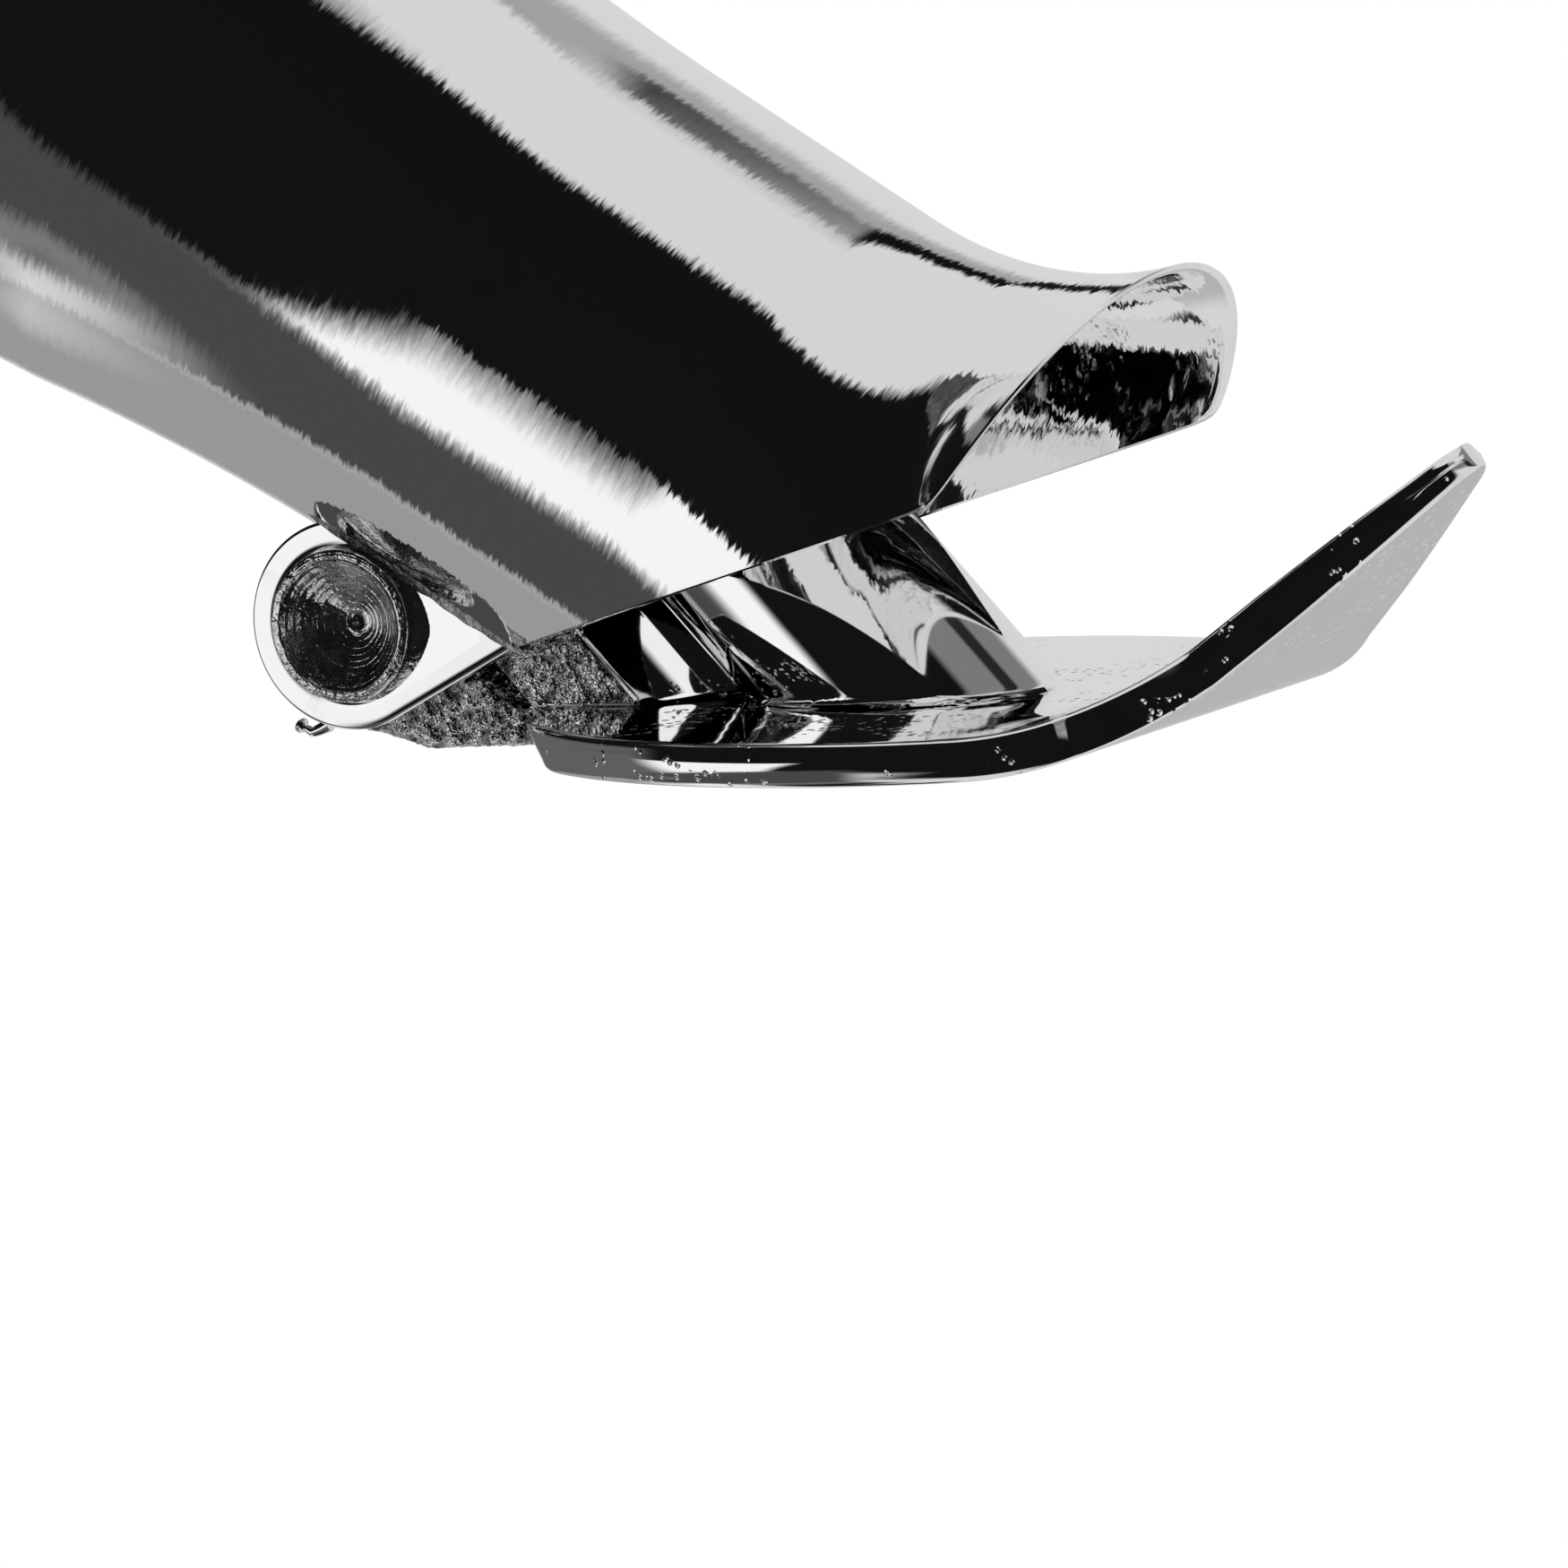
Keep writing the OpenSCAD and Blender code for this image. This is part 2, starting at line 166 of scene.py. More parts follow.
def mixed(p, q, share):
    return tuple(a + (b - a) * share for a, b in zip(p, q))


def roundOutline(c1, r1, c2, r2, steps):
    # outline round two circles, the first the larger, with tangent sides
    dx = c2[0] - c1[0]
    dz = c2[1] - c1[1]
    way = math.degrees(math.atan2(dz, dx))
    lean = math.degrees(math.acos((r1 - r2) / math.hypot(dx, dz)))
    big = arc(c1, r1, way + lean, way + 360 - lean, steps)
    side = 10      # points along each straight side, so that spokes stay short
    small = arc(c2, r2, way - lean, way + lean, steps // 4)
    first = [mixed(big[-1], small[0], i / side) for i in range(1, side)]
    last = [mixed(small[-1], big[0], i / side) for i in range(1, side)]
    return big + first + small + last


# the spout's tube, all lengths from the middle of its mouth
spout = {
    "radius": 6.15 * mm,
    "wall": 0.55 * mm,
    "rimWall": 0.22 * mm,
    "tilt": math.radians(41.5),
    "straight": 17 * mm,
    "bendRadius": 19 * mm,
    "footRadius": 10.8 * mm,
    "even": 8.1 * mm,
    "curlRadius": 8.2 * mm,
    "lipStart": 2.5 * mm,
    "groundRadius": 5 * mm,
    "groundStart": 4.7 * mm,
    "slotWidth": 5 * mm,
    "slotLength": 9.83 * mm,
    "rimRound": 0.05 * mm,
    "frontColumns": 260,
    "slotColumns": 36,
}
tilt = spout["tilt"]
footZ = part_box("spout_tube")[0].z
pathLength = spout["straight"] + spout["bendRadius"] * tilt
lipReach = 0.72 * spout["curlRadius"]
mouth = Vector((
    spout["bendRadius"] * (1 - math.cos(tilt)) + spout["straight"] * math.sin(tilt), 0,
    footZ + spout["bendRadius"] * math.sin(tilt) + spout["straight"] * math.cos(tilt)))
alongTube = Vector((math.sin(tilt), 0, math.cos(tilt)))
outOfBack = Vector((-math.cos(tilt), 0, math.sin(tilt)))
placeCamera(mouth)


def tiltAt(s):
    if s <= spout["straight"]:
        return tilt
    return tilt - (s - spout["straight"]) / spout["bendRadius"]


def centreAt(s):
    if s <= spout["straight"]:
        return mouth - s * alongTube
    t = tiltAt(s)
    return Vector((spout["bendRadius"] * (1 - math.cos(t)), 0, footZ + spout["bendRadius"] * math.sin(t)))


def widening(s):
    if s <= spout["even"]:
        return 0
    share = (s - spout["even"]) / (pathLength - spout["even"])
    return (spout["footRadius"] - spout["radius"]) * share ** 2


def wallAt(s):
    thin = (spout["lipStart"] - s) / lipReach * 1.6
    return max(spout["rimWall"], spout["wall"] - (spout["wall"] - spout["rimWall"]) * max(0, thin))


def tubePoint(s, a, inner=False, inset=0):
    # a point of the skin at distance s behind the mouth's centre; a is 0 at the front
    r = spout["radius"] + widening(s) - inset
    if s < spout["lipStart"]:
        d = min(spout["lipStart"] - s, 0.99 * spout["curlRadius"])
        curl = spout["curlRadius"] - math.sqrt(spout["curlRadius"] ** 2 - d ** 2)
        r += curl * ((1 + math.cos(a)) / 2) ** 1.5
    if inner:
        r += 2 * inset - wallAt(s)
    t = tiltAt(s)
    c = centreAt(s)
    out = r * math.cos(a)
    return Vector((c.x + out * math.cos(t), r * math.sin(a), c.z - out * math.sin(t)))


def overMouth(p):
    # height above the ground surface of the mouth: level, then round at the front
    x0 = mouth.x + spout["groundStart"]
    if p.x <= x0:
        return p.z - mouth.z
    drop = spout["groundRadius"]
    if p.z < mouth.z - drop:
        return p.x - x0 - drop
    return math.hypot(p.x - x0, p.z - mouth.z + drop) - drop


def endOf(a, inner):
    low = -lipReach
    high = 8.5 * mm
    for _ in range(40):
        middle = (low + high) / 2
        if overMouth(tubePoint(middle, a, inner)) > 0:
            low = middle
        else:
            high = middle
    last = spout["lipStart"] - lipReach
    soft = 0.25 * mm       # the two cuts run into each other over this length
    d = high - last
    return last + (d + math.sqrt(d * d + soft * soft)) / 2


def makeSpoutTube():
    slotOuter = math.asin(spout["slotWidth"] / 2 / spout["radius"])
    slotInner = math.asin(spout["slotWidth"] / 2 / (spout["radius"] - spout["wall"]))
    front = spout["frontColumns"]
    back = spout["slotColumns"]
    around = front + back

    def angles(slot):
        edge = math.pi - slot
        out = [-edge + 2 * edge * i / front for i in range(front)]
        return out + [edge + 2 * slot * i / back for i in range(back)]

    lower = 70       # rings from the foot to the end of the slot
    upper = 90       # rings from there to the rim
    rows = []
    for inner in (False, True):
        columns = []
        for a in angles(slotInner if inner else slotOuter):
            end = endOf(a, inner)
            slotEnd = spout["slotLength"]
            stop = end + spout["rimRound"]
            stations = [pathLength + (slotEnd - pathLength) * k / lower for k in range(lower)]
            stations += [slotEnd + (stop - slotEnd) * k / upper for k in range(upper + 1)]
            column = [(tubePoint(s, a, inner), (a * spout["radius"], s)) for s in stations]
            rim = tubePoint(end, a, inner, spout["rimRound"])
            column.append((rim, (a * spout["radius"], end)))
            columns.append(column)
        grid = list(zip(*columns))
        rows += grid if not inner else grid[::-1]
    total = len(rows)
    half = total // 2
    points = [p[0] for row in rows for p in row]
    uvs = [p[1] for row in rows for p in row]
    inSlot = [k >= lower and k < half or k >= half and k <= total - 1 - lower for k in range(total)]
    faces = []
    for k in range(total):
        n = (k + 1) % total
        for i in range(around):
            j = (i + 1) % around
            if i >= front and inSlot[k] and inSlot[n]:
                continue
            faces.append((k * around + i, n * around + i, n * around + j, k * around + j))
    # walls of the slot: its two sides, then its end
    for k in range(lower, half - 1):
        m = total - 1 - k
        for i in (front, 0):
            faces.append((k * around + i, (k + 1) * around + i, (m - 1) * around + i, m * around + i))
    m = total - 1 - lower
    for i in range(front, around):
        j = (i + 1) % around
        faces.append((lower * around + i, lower * around + j, m * around + j, m * around + i))
    return finishMesh("spoutTube", "spout", points, faces, 34, uvs)


# lugs, rivet and braze, placed from the hinge's pin
hinge = {
    "lugRadius": 2.2 * mm,
    "lugThickness": 0.75 * mm,
    "lugGap": 5 * mm,
    "tipRadius": 0.24 * mm,
    "edge": 0.07 * mm,         # rounding of the lug's edges
    "hole": 0.72 * mm,
    "sinkRadius": 1.5 * mm,    # countersink for the rivet's cone
    "sinkDepth": 0.55 * mm,
    "headRadius": 1.6 * mm,
    "headHeight": 0.32 * mm,
    "coneRadius": 1.36 * mm,
    "coneTip": 0.27 * mm,
    "coneDepth": 0.85 * mm,
    "turnedRings": 9,
    "ringDepth": 0.022 * mm,
    "sunk": 0.14 * mm,         # how far the lug's foot stands in the tube's wall
}
pin = Vector(frame["joints"][0]["pos_m"])
lugOut = hinge["lugGap"] / 2 + hinge["lugThickness"]


def seatOnTube(p):
    # lifts what would stand inside the bore up into the tube's wall
    rel = p - mouth
    out = rel.dot(outOfBack)
    reach = spout["radius"] + widening(-rel.dot(alongTube)) - hinge["sunk"]
    limit = math.sqrt(max(0, reach ** 2 - p.y ** 2))
    return p + outOfBack * (limit - out) if 0 < out < limit else p


def makeLug(name, side):
    tubeOff = math.sqrt(spout["radius"] ** 2 - lugOut ** 2)
    tip = (mouth.x - pin.x - tubeOff / math.cos(tilt) - hinge["tipRadius"] * math.tan(tilt) + 0.12 * mm,
           mouth.z - pin.z - hinge["tipRadius"] - 0.02 * mm)
    outline = roundOutline((0, 0), hinge["lugRadius"], tip, hinge["tipRadius"], 96)
    inner = side * hinge["lugGap"] / 2
    outer = side * lugOut
    edge = hinge["edge"]
    steps = []       # (share of the way out, inset, y)
    sink = hinge["sinkRadius"] / hinge["lugRadius"]
    for k in range(5):
        steps.append((sink + (1 - sink) * k / 4, edge, outer))
    for k in range(1, 5):
        a = math.pi / 2 * k / 4
        steps.append((1, edge * (1 - math.sin(a)), outer - side * edge * (1 - math.cos(a))))
    for k in range(5):
        a = math.pi / 2 * (1 - k / 4)
        steps.append((1, edge * (1 - math.sin(a)), inner + side * edge * (1 - math.cos(a))))
    for k in range(4):
        steps.append((1 - (k + 1) / 4, edge, inner))
    steps.append((0, edge, outer - side * hinge["sinkDepth"]))
    rings = []
    for share, inset, y in steps:
        ring = []
        for x, z in outline:
            d = math.hypot(x, z)
            reach = hinge["hole"] + (d - inset - hinge["hole"]) * share
            if share == sink:
                reach = hinge["sinkRadius"]
            p = pin + Vector((x / d * reach, y, z / d * reach))
            ring.append(seatOnTube(p))
        rings.append(ring)
    return fromRings(name, "spout", rings, loop=True, creaseAngle=50)


def aroundPin(r, a, h):
    return pin + Vector((r * math.cos(a), h, r * math.sin(a)))


def makeRivet():
    top = lugOut + hinge["headHeight"]
    cone = hinge["coneRadius"]
    tip = hinge["coneTip"]
    depth = hinge["coneDepth"]
    half = [(0.00001 * mm, top - depth - 0.3 * mm), (0.13 * mm, top - depth - 0.3 * mm)]
    half += [(0.15 * mm, top - depth - 0.02 * mm), (0.2 * mm, top - depth + 0.01 * mm)]
    steps = hinge["turnedRings"] * 8
    for k in range(steps + 1):
        share = k / steps
        turn = math.cos(math.tau * share * hinge["turnedRings"])
        groove = hinge["ringDepth"] * (0.25 + 0.75 * share) * turn
        bowl = 0.1 * mm * math.sin(math.pi * share)       # the cone is spun slightly hollow
        half.append((tip + (cone - tip) * share + groove * 0.6, top - depth * (1 - share) - bowl + groove))
    rim = hinge["headRadius"]
    half += arc((cone + 0.06 * mm, top - 0.04 * mm), 0.05 * mm, 140, 60, 4)
    half += arc((rim - 0.07 * mm, top - 0.07 * mm), 0.07 * mm, 85, 0, 6)
    half += [(rim - 0.01 * mm, lugOut + 0.06 * mm), (rim + 0.02 * mm, lugOut - 0.03 * mm)]
    half += [(0.7 * mm, lugOut - 0.5 * mm)]
    profile = half + [(r, -h) for r, h in reversed(half)]

    def wobble(r, h, a):
        if r < 0.3 * mm:
            return 0
        seed = Vector((math.cos(a) * 1.3, math.sin(a) * 1.3, h / mm * 0.8))
        fine = Vector((math.cos(a) * 6, math.sin(a) * 6, (r + h) / mm * 5))
        return (noise.noise(seed) * 0.03 + noise.noise(fine) * 0.012) * mm * min(1, r / mm)

    return turned("hingeRivet", "spout", profile, 200, 40, aroundPin, wobble)


braze = {
    "spread": 0.22 * mm,
    "rise": 0.12 * mm,
    "ripple": 0.09 * mm,
    "from": 1.9 * mm,       # how far behind the pin it starts
    "to": -3.8 * mm,
}


def makeBraze():
    # a thin uneven bead along the foot of each lug, one closed tube a side
    points = []
    faces = []
    for side in (1, -1):
        rings = []
        count = 150
        for k in range(count + 1):
            share = k / count
            s = -(pin - mouth).dot(alongTube) + braze["from"] + (braze["to"] - braze["from"]) * share
            lump = noise.noise(Vector((s / mm * 2.3, side * 7, 0)))
            spike = noise.noise(Vector((s / mm * 7.5, side * 3, 4)))
            fade = min(1, share * 8, (1 - share) * 5) ** 0.5
            wide = (braze["spread"] + braze["ripple"] * (2 * lump + 1.6 * spike)) * fade + 0.02 * mm
            tall = (braze["rise"] + braze["ripple"] * 0.6 * lump) * fade + 0.01 * mm
            ring = []
            for i in range(14):
                a = math.tau * i / 14
                y = lugOut + wide * (0.35 + 0.65 * math.cos(a))
                surface = math.sqrt(spout["radius"] ** 2 - y ** 2)
                off = surface + tall * (0.1 + 0.5 * math.sin(a)) * (1.2 - 0.8 * math.cos(a))
                ring.append(mouth - s * alongTube + off * outOfBack + side * y * yAxis)
            rings.append(ring)
        start = len(points)
        points += [p for ring in rings for p in ring]
        faces += [tuple(start + i for i in f) for f in ringFaces(len(rings), 14, capEnds=True)]
    return finishMesh("brazeBead", "spout", points, faces, 60)


burr = {
    "bearing": 236,      # degrees round the pin, from +X towards +Z seen from the side
    "neck": 0.1 * mm,
    "bead": 0.17 * mm,
}


def makeBurr():
    # a small drip of plating that froze on the rim of the near lug
    path = []
    start = math.radians(burr["bearing"])
    for k in range(31):
        share = k / 30
        a = start - math.radians(17) * share
        r = hinge["lugRadius"] + (0.02 + 0.3 * min(1, share * 2.2)) * mm
        path.append((aroundPin(r, -a, lugOut - 0.25 * mm), share))
    rings = []
    for k, (p, share) in enumerate(path):
        before = path[max(0, k - 1)][0]
        after = path[min(30, k + 1)][0]
        along = (after - before).normalized()
        across = along.cross(yAxis).normalized()
        if share < 0.68:
            r = burr["neck"] * (1.5 - share)
        else:
            q = (share - 0.68) / 0.32
            bulge = burr["bead"] * math.sqrt(max(0.0004, 1 - (2 * q - 1) ** 2))
            r = max(burr["neck"] * 0.8 * (1 - q), bulge)
        ring = []
        for i in range(20):
            a = math.tau * i / 20
            ring.append(p + r * (math.cos(a) * across + math.sin(a) * yAxis))
        rings.append(ring)
    return fromRings("platingBurr", "spout", rings, capEnds=True, creaseAngle=80)


# flap: plate, plug, block and arm
flap = {
    "open": math.radians(16.2),
    "thickness": 0.9 * mm,
    "closeGap": 0.26 * mm,
    "halfWidth": 7.8 * mm,
    "halfLength": 9 * mm,
    "centre": 12 * mm,        # all lengths along the flap are from the pin
    "back": 4.6 * mm,
    "backSlope": 0.55 * mm,
    "curveStart": 15.8 * mm,
    "curveRadius": 6.2 * mm,
    "curveAngle": math.radians(39.5),
    "tongue": 5.9 * mm,
    "tongueHalf": 4.3 * mm,
    "tipRadius": 1.2 * mm,
    "corner": 0.17 * mm,
    "crown": 0.05 * mm,
    "thinned": 0.34,          # share of the thickness that is gone at the tongue's tip
    "thinLength": 4.5 * mm,
}
plateZ = mouth.z - pin.z + flap["closeGap"]


def flapPoint(u, y, h):
    # from the closed flap's own axes, at the pin, to its place when it stands open
    c = math.cos(flap["open"])
    s = math.sin(flap["open"])
    return pin + Vector((u * c - h * s, y, u * s + h * c))


def plateLine(d):
    # the middle of the plate's thickness at a distance d from the pin: place, and outward normal
    half = flap["thickness"] / 2
    if d < flap["curveStart"]:
        return d, plateZ + half, 0, 1
    radius = flap["curveRadius"] + half
    bent = min((d - flap["curveStart"]) / radius, flap["curveAngle"])
    u = flap["curveStart"] + radius * math.sin(bent)
    h = plateZ - flap["curveRadius"] + radius * math.cos(bent)
    rest = d - flap["curveStart"] - radius * bent
    return u + rest * math.cos(bent), h - rest * math.sin(bent), math.sin(bent), math.cos(bent)


curveLength = (flap["curveRadius"] + flap["thickness"] / 2) * flap["curveAngle"]
plateEnd = flap["curveStart"] + curveLength + flap["tongue"]


def plateHalfWidth(u):
    tip = plateLine(plateEnd)[0] - flap["tipRadius"]
    x = (u - flap["centre"]) / flap["halfLength"]
    oval = flap["halfWidth"] * math.sqrt(max(0, 1 - x * x))
    root = flap["curveStart"] + 2 * mm
    lean = math.asin((flap["tongueHalf"] - flap["tipRadius"]) / (tip - root))
    if u < root:
        narrow = 0
    elif u < tip + flap["tipRadius"] * math.sin(lean):
        narrow = flap["tongueHalf"] / math.cos(lean) - (u - root) * math.tan(lean)
    else:
        narrow = math.sqrt(max(0, flap["tipRadius"] ** 2 - (u - tip) ** 2))
    if u < root:
        return oval
    blend = 0.7 * mm
    d = oval - narrow
    soft = (d + math.sqrt(d * d + blend * blend)) / 2 - blend / 2 * min(1, 1 - d / blend / 4)
    return narrow + max(0, soft)


def plateSection(half, thick, corner):
    # half of a rounded section, from the middle of the inner face to the middle of the outer one
    top = thick / 2
    c = min(corner, top * 0.9, half * 0.6)
    flat = half - c
    out = [(flat * (1 - (1 - k / 16) ** 1.6), -top) for k in range(16)]
    turns = [math.radians(15 * k) for k in range(7)]
    out += [(flat + c * math.sin(t), -top + c - c * math.cos(t)) for t in turns]
    for k in range(1, 6):
        share = k / 6
        z = (-top + c) * (1 - share) + (top - c) * share
        out.append((half + min(flap["crown"], half * 0.1) * math.sin(math.pi * share), z))
    out += [(flat + c * math.cos(t), top - c + c * math.sin(t)) for t in turns]
    out += [(flat * (1 - (k / 16) ** 1.6), top) for k in range(1, 17)]
    return out


def makePlate():
    stations = []
    for k in range(221):
        share = 1 - (1 - k / 220) ** 1.35
        stations.append(flap["back"] + (plateEnd - flap["back"]) * share)
    for k in range(1, 7):
        stations[-1 - k] = plateEnd - flap["tipRadius"] * (1 - math.cos(math.radians(13 * k)))
    stations.sort()
    bevel = 0.1 * mm
    rings = []
    for d in stations[:-1]:
        u, h, nu, nh = plateLine(d)
        half = max(plateHalfWidth(u), 0.06 * mm)
        thick = flap["thickness"]
        if d < flap["back"] + bevel:
            cut = bevel - math.sqrt(max(0, bevel ** 2 - (flap["back"] + bevel - d) ** 2))
            half -= cut
            thick -= 2 * cut
        near = max(0, 1 - (plateEnd - d) / flap["thinLength"])
        thick *= 1 - flap["thinned"] * near ** 1.5
        section = plateSection(half, thick, flap["corner"] * (1 + near))
        whole = section + [(-y, z) for y, z in reversed(section[1:-1])]
        ring = []
        for y, z in whole:
            slope = flap["backSlope"] * (z / thick + 0.5) * max(0, 1 - (d - flap["back"]) / (1.6 * mm)) ** 2
            ring.append(flapPoint(u + nu * z + slope, y, h + nh * z))
        rings.append(ring)
    return fromRings("flapPlate", "flap", rings, capEnds=True, creaseAngle=38)


plug = {
    "radius": 2.58 * mm,
    "depth": 6.2 * mm,
    "ahead": 0.62 * mm,
    "foot": 0.12 * mm,
    "endRound": 0.5 * mm,
}


def flareAtPlate(h, foot):
    # extra reach close to the plate, where the casting is filleted
    d = max(0, plateZ - h)
    return foot - math.sqrt(foot ** 2 - (foot - d) ** 2) if d < foot else 0


def makePlug():
    centre = mouth.x - pin.x + plug["ahead"]
    rings = []
    inPlate = flap["thickness"] * 0.5 / math.cos(tilt)
    steps = 150
    for k in range(steps + 1):
        length = -plug["radius"] * math.tan(tilt) - inPlate + (plug["depth"] - plug["endRound"]
                 + plug["radius"] * math.tan(tilt) + inPlate) * k / steps
        rings.append((length, plug["radius"]))
    for k in range(1, 10):
        a = math.radians(10 * k)
        rings.append((plug["depth"] - plug["endRound"] * (1 - math.sin(a)),
                      plug["radius"] - plug["endRound"] * (1 - math.cos(a))))
    out = []
    for length, r in rings:
        ring = []
        for i in range(128):
            a = math.tau * i / 128
            u = centre - length * math.sin(tilt) + r * math.cos(a) * math.cos(tilt)
            h = plateZ - length * math.cos(tilt) - r * math.cos(a) * math.sin(tilt)
            if h > plateZ:      # inside the plate: slide back along the plug to half of its thickness
                over = max(0, h - plateZ - flap["thickness"] / 2)
                u -= over * math.tan(tilt)
                h -= over
            flare = flareAtPlate(h, plug["foot"])
            ring.append(flapPoint(u + flare * math.cos(a), (r + flare) * math.sin(a), h))
        out.append(ring)
    return fromRings("flapPlug", "flap", out, capEnds=True)


block = {
    "half": 2.3 * mm,
    "depth": 3.4 * mm,
    "front": 1.6 * mm,      # from the plate's back edge to where the front faces start
    "point": 1.9 * mm,
    "behind": 0.9 * mm,
    "round": 0.09 * mm,
    "foot": 0.1 * mm,
}


def roundedLoop(corners, radius, steps=5):
    out = []
    count = len(corners)
    for i, here in enumerate(corners):
        before = Vector(corners[i - 1]) - Vector(here)
        after = Vector(corners[(i + 1) % count]) - Vector(here)
        before.normalize()
        after.normalize()
        start = Vector(here) + before * radius
        end = Vector(here) + after * radius
        for k in range(steps + 1):
            t = k / steps
            out.append((1 - t) ** 2 * start + 2 * t * (1 - t) * Vector(here) + t * t * end)
    return out


def makeBlock():
    back = flap["back"] - block["behind"]
    front = flap["back"] + block["front"]
    corners = [(back, -block["half"]), (front, -block["half"]), (front + block["point"], 0),
               (front, block["half"]), (back, block["half"])]
    loop = roundedLoop(corners, block["round"])
    dense = []
    for i, p in enumerate(loop):
        q = loop[(i + 1) % len(loop)]
        pieces = max(1, round((q - p).length / (0.12 * mm)))
        dense += [p + (q - p) * k / pieces for k in range(pieces)]
    middle = Vector(((back + front) / 2, 0))
    rings = []
    heights = [-0.3 * mm] + [block["depth"] * (k / 40) ** 1.5 for k in range(40)]
    for h in heights:
        flare = flareAtPlate(plateZ - h, block["foot"])
        ring = []
        for p in dense:
            away = (p - middle).normalized()
            q = p + away * flare
            ring.append(flapPoint(q.x - h * math.tan(tilt), q.y, plateZ - h))
        rings.append(ring)
    last = []
    for p in dense:
        q = p - (p - middle).normalized() * 0.1 * mm
        last.append(flapPoint(q.x - block["depth"] * math.tan(tilt), q.y, plateZ - block["depth"]))
    rings.append(last)
    return fromRings("flapBlock", "flap", rings, capEnds=True, creaseAngle=40)


arm = {
    "knuckle": 1.25 * mm,
    "half": 2.4 * mm,
    "hole": 0.76 * mm,
    "voxel": 0.075 * mm,
    "lump": 0.1 * mm,
    "grit": 0.035 * mm,
}


def makeArm():
    # the knuckle and the arm that joins it to the plate, sand cast and left rough
    r = arm["knuckle"]
    foot = (r * math.cos(tilt), -r * math.sin(tilt))
    up = (plateZ - foot[1]) / math.cos(tilt)
    edge = flap["back"] + 1 * mm
    start = math.degrees(math.atan2(foot[1], foot[0]))
    outline = arc((0, 0), r, 199, 360 + start, 24)
    outline += [(foot[0] + up * math.sin(tilt), foot[1] + up * math.cos(tilt)), (edge, plateZ),
                (edge, plateZ + 0.8 * flap["thickness"]), (flap["back"] - 0.2 * mm, plateZ + 0.86 * mm),
                (1.2 * mm, plateZ + 0.95 * mm), (-0.6 * mm, plateZ + 0.4 * mm),
                (-r - 0.3 * mm, plateZ - 0.75 * mm), (-r - 0.3 * mm, 0.4 * mm)]
    count = len(outline)
    points = []
    for y in (-arm["half"], arm["half"]):
        points += [flapPoint(u, y, h) for u, h in outline]
    faces = [(i, (i + 1) % count, count + (i + 1) % count, count + i) for i in range(count)]
    faces += [tuple(range(count)), tuple(range(count, 2 * count))]
    piece = finishMesh("flapArm", "flap", points, faces, 60)
    bevel = piece.modifiers.new("edges", "BEVEL")
    bevel.width = 0.22 * mm
    bevel.segments = 3
    remesh = piece.modifiers.new("cast", "REMESH")
    remesh.mode = "VOXEL"
    remesh.voxel_size = arm["voxel"]
    smooth = piece.modifiers.new("soften", "SMOOTH")
    smooth.iterations = 3
    bpy.context.view_layer.update()
    shaped = bpy.data.meshes.new_from_object(piece.evaluated_get(bpy.context.evaluated_depsgraph_get()))
    piece.modifiers.clear()
    piece.data = shaped
    for v in shaped.vertices:
        q = v.co / mm
        lump = noise.noise(q * 0.9) * arm["lump"]
        grit = noise.noise(q * 5.5) * arm["grit"]
        v.co += v.normal * (lump + grit - 0.04 * mm)
    shaped.shade_smooth()
    return piece


# collar, stopper, sleeve and breather, turned round Z
stopper = {
    "flangeRadius": 11.7 * mm,
    "flange": 1.6 * mm,
    "core": 7.7 * mm,
    "fin": 9.8 * mm,
    "finThickness": 1.4 * mm,
    "finPitch": 5.2 * mm,
    "fins": 5,
    "nose": 4 * mm,
    "noseRadius": 6.8 * mm,
    "bore": 6 * mm,
}
sleeve = {
    "radius": 6 * mm,
    "wall": 0.6 * mm,
    "bead": 0.6 * mm,
}
breather = {
    "radius": 1.3 * mm,
    "wall": 0.3 * mm,
    "stop": 14 * mm,
    "steps": 90,
    "around": 40,
}


def makeCollar():
    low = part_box("collar_ring")[0].z
    top = footZ
    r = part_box("collar_ring")[1].x
    edge = 0.5 * mm
    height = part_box("collar_ring")[1].z
    profile = [(sleeve["radius"], low), (r - edge, low)]
    profile += arc((r - edge, low + edge), edge, -80, 0, 8)
    middle = (low + top) / 2
    profile += [(r, middle - 0.5 * mm), (r - 0.12 * mm, middle - 0.36 * mm), (r - 0.16 * mm, middle)]
    profile += [(r - 0.12 * mm, middle + 0.36 * mm), (r, middle + 0.5 * mm)]
    profile += arc((r - edge, top - edge), edge, 0, 90, 8)
    foot = spout["radius"] + widening(pathLength - 0.8 * mm) - spout["wall"] - 0.2 * mm
    profile += [(foot, top), (foot - 0.05 * mm, height), (sleeve["radius"], height)]
    return turned("collarRing", "spout", profile, 220)


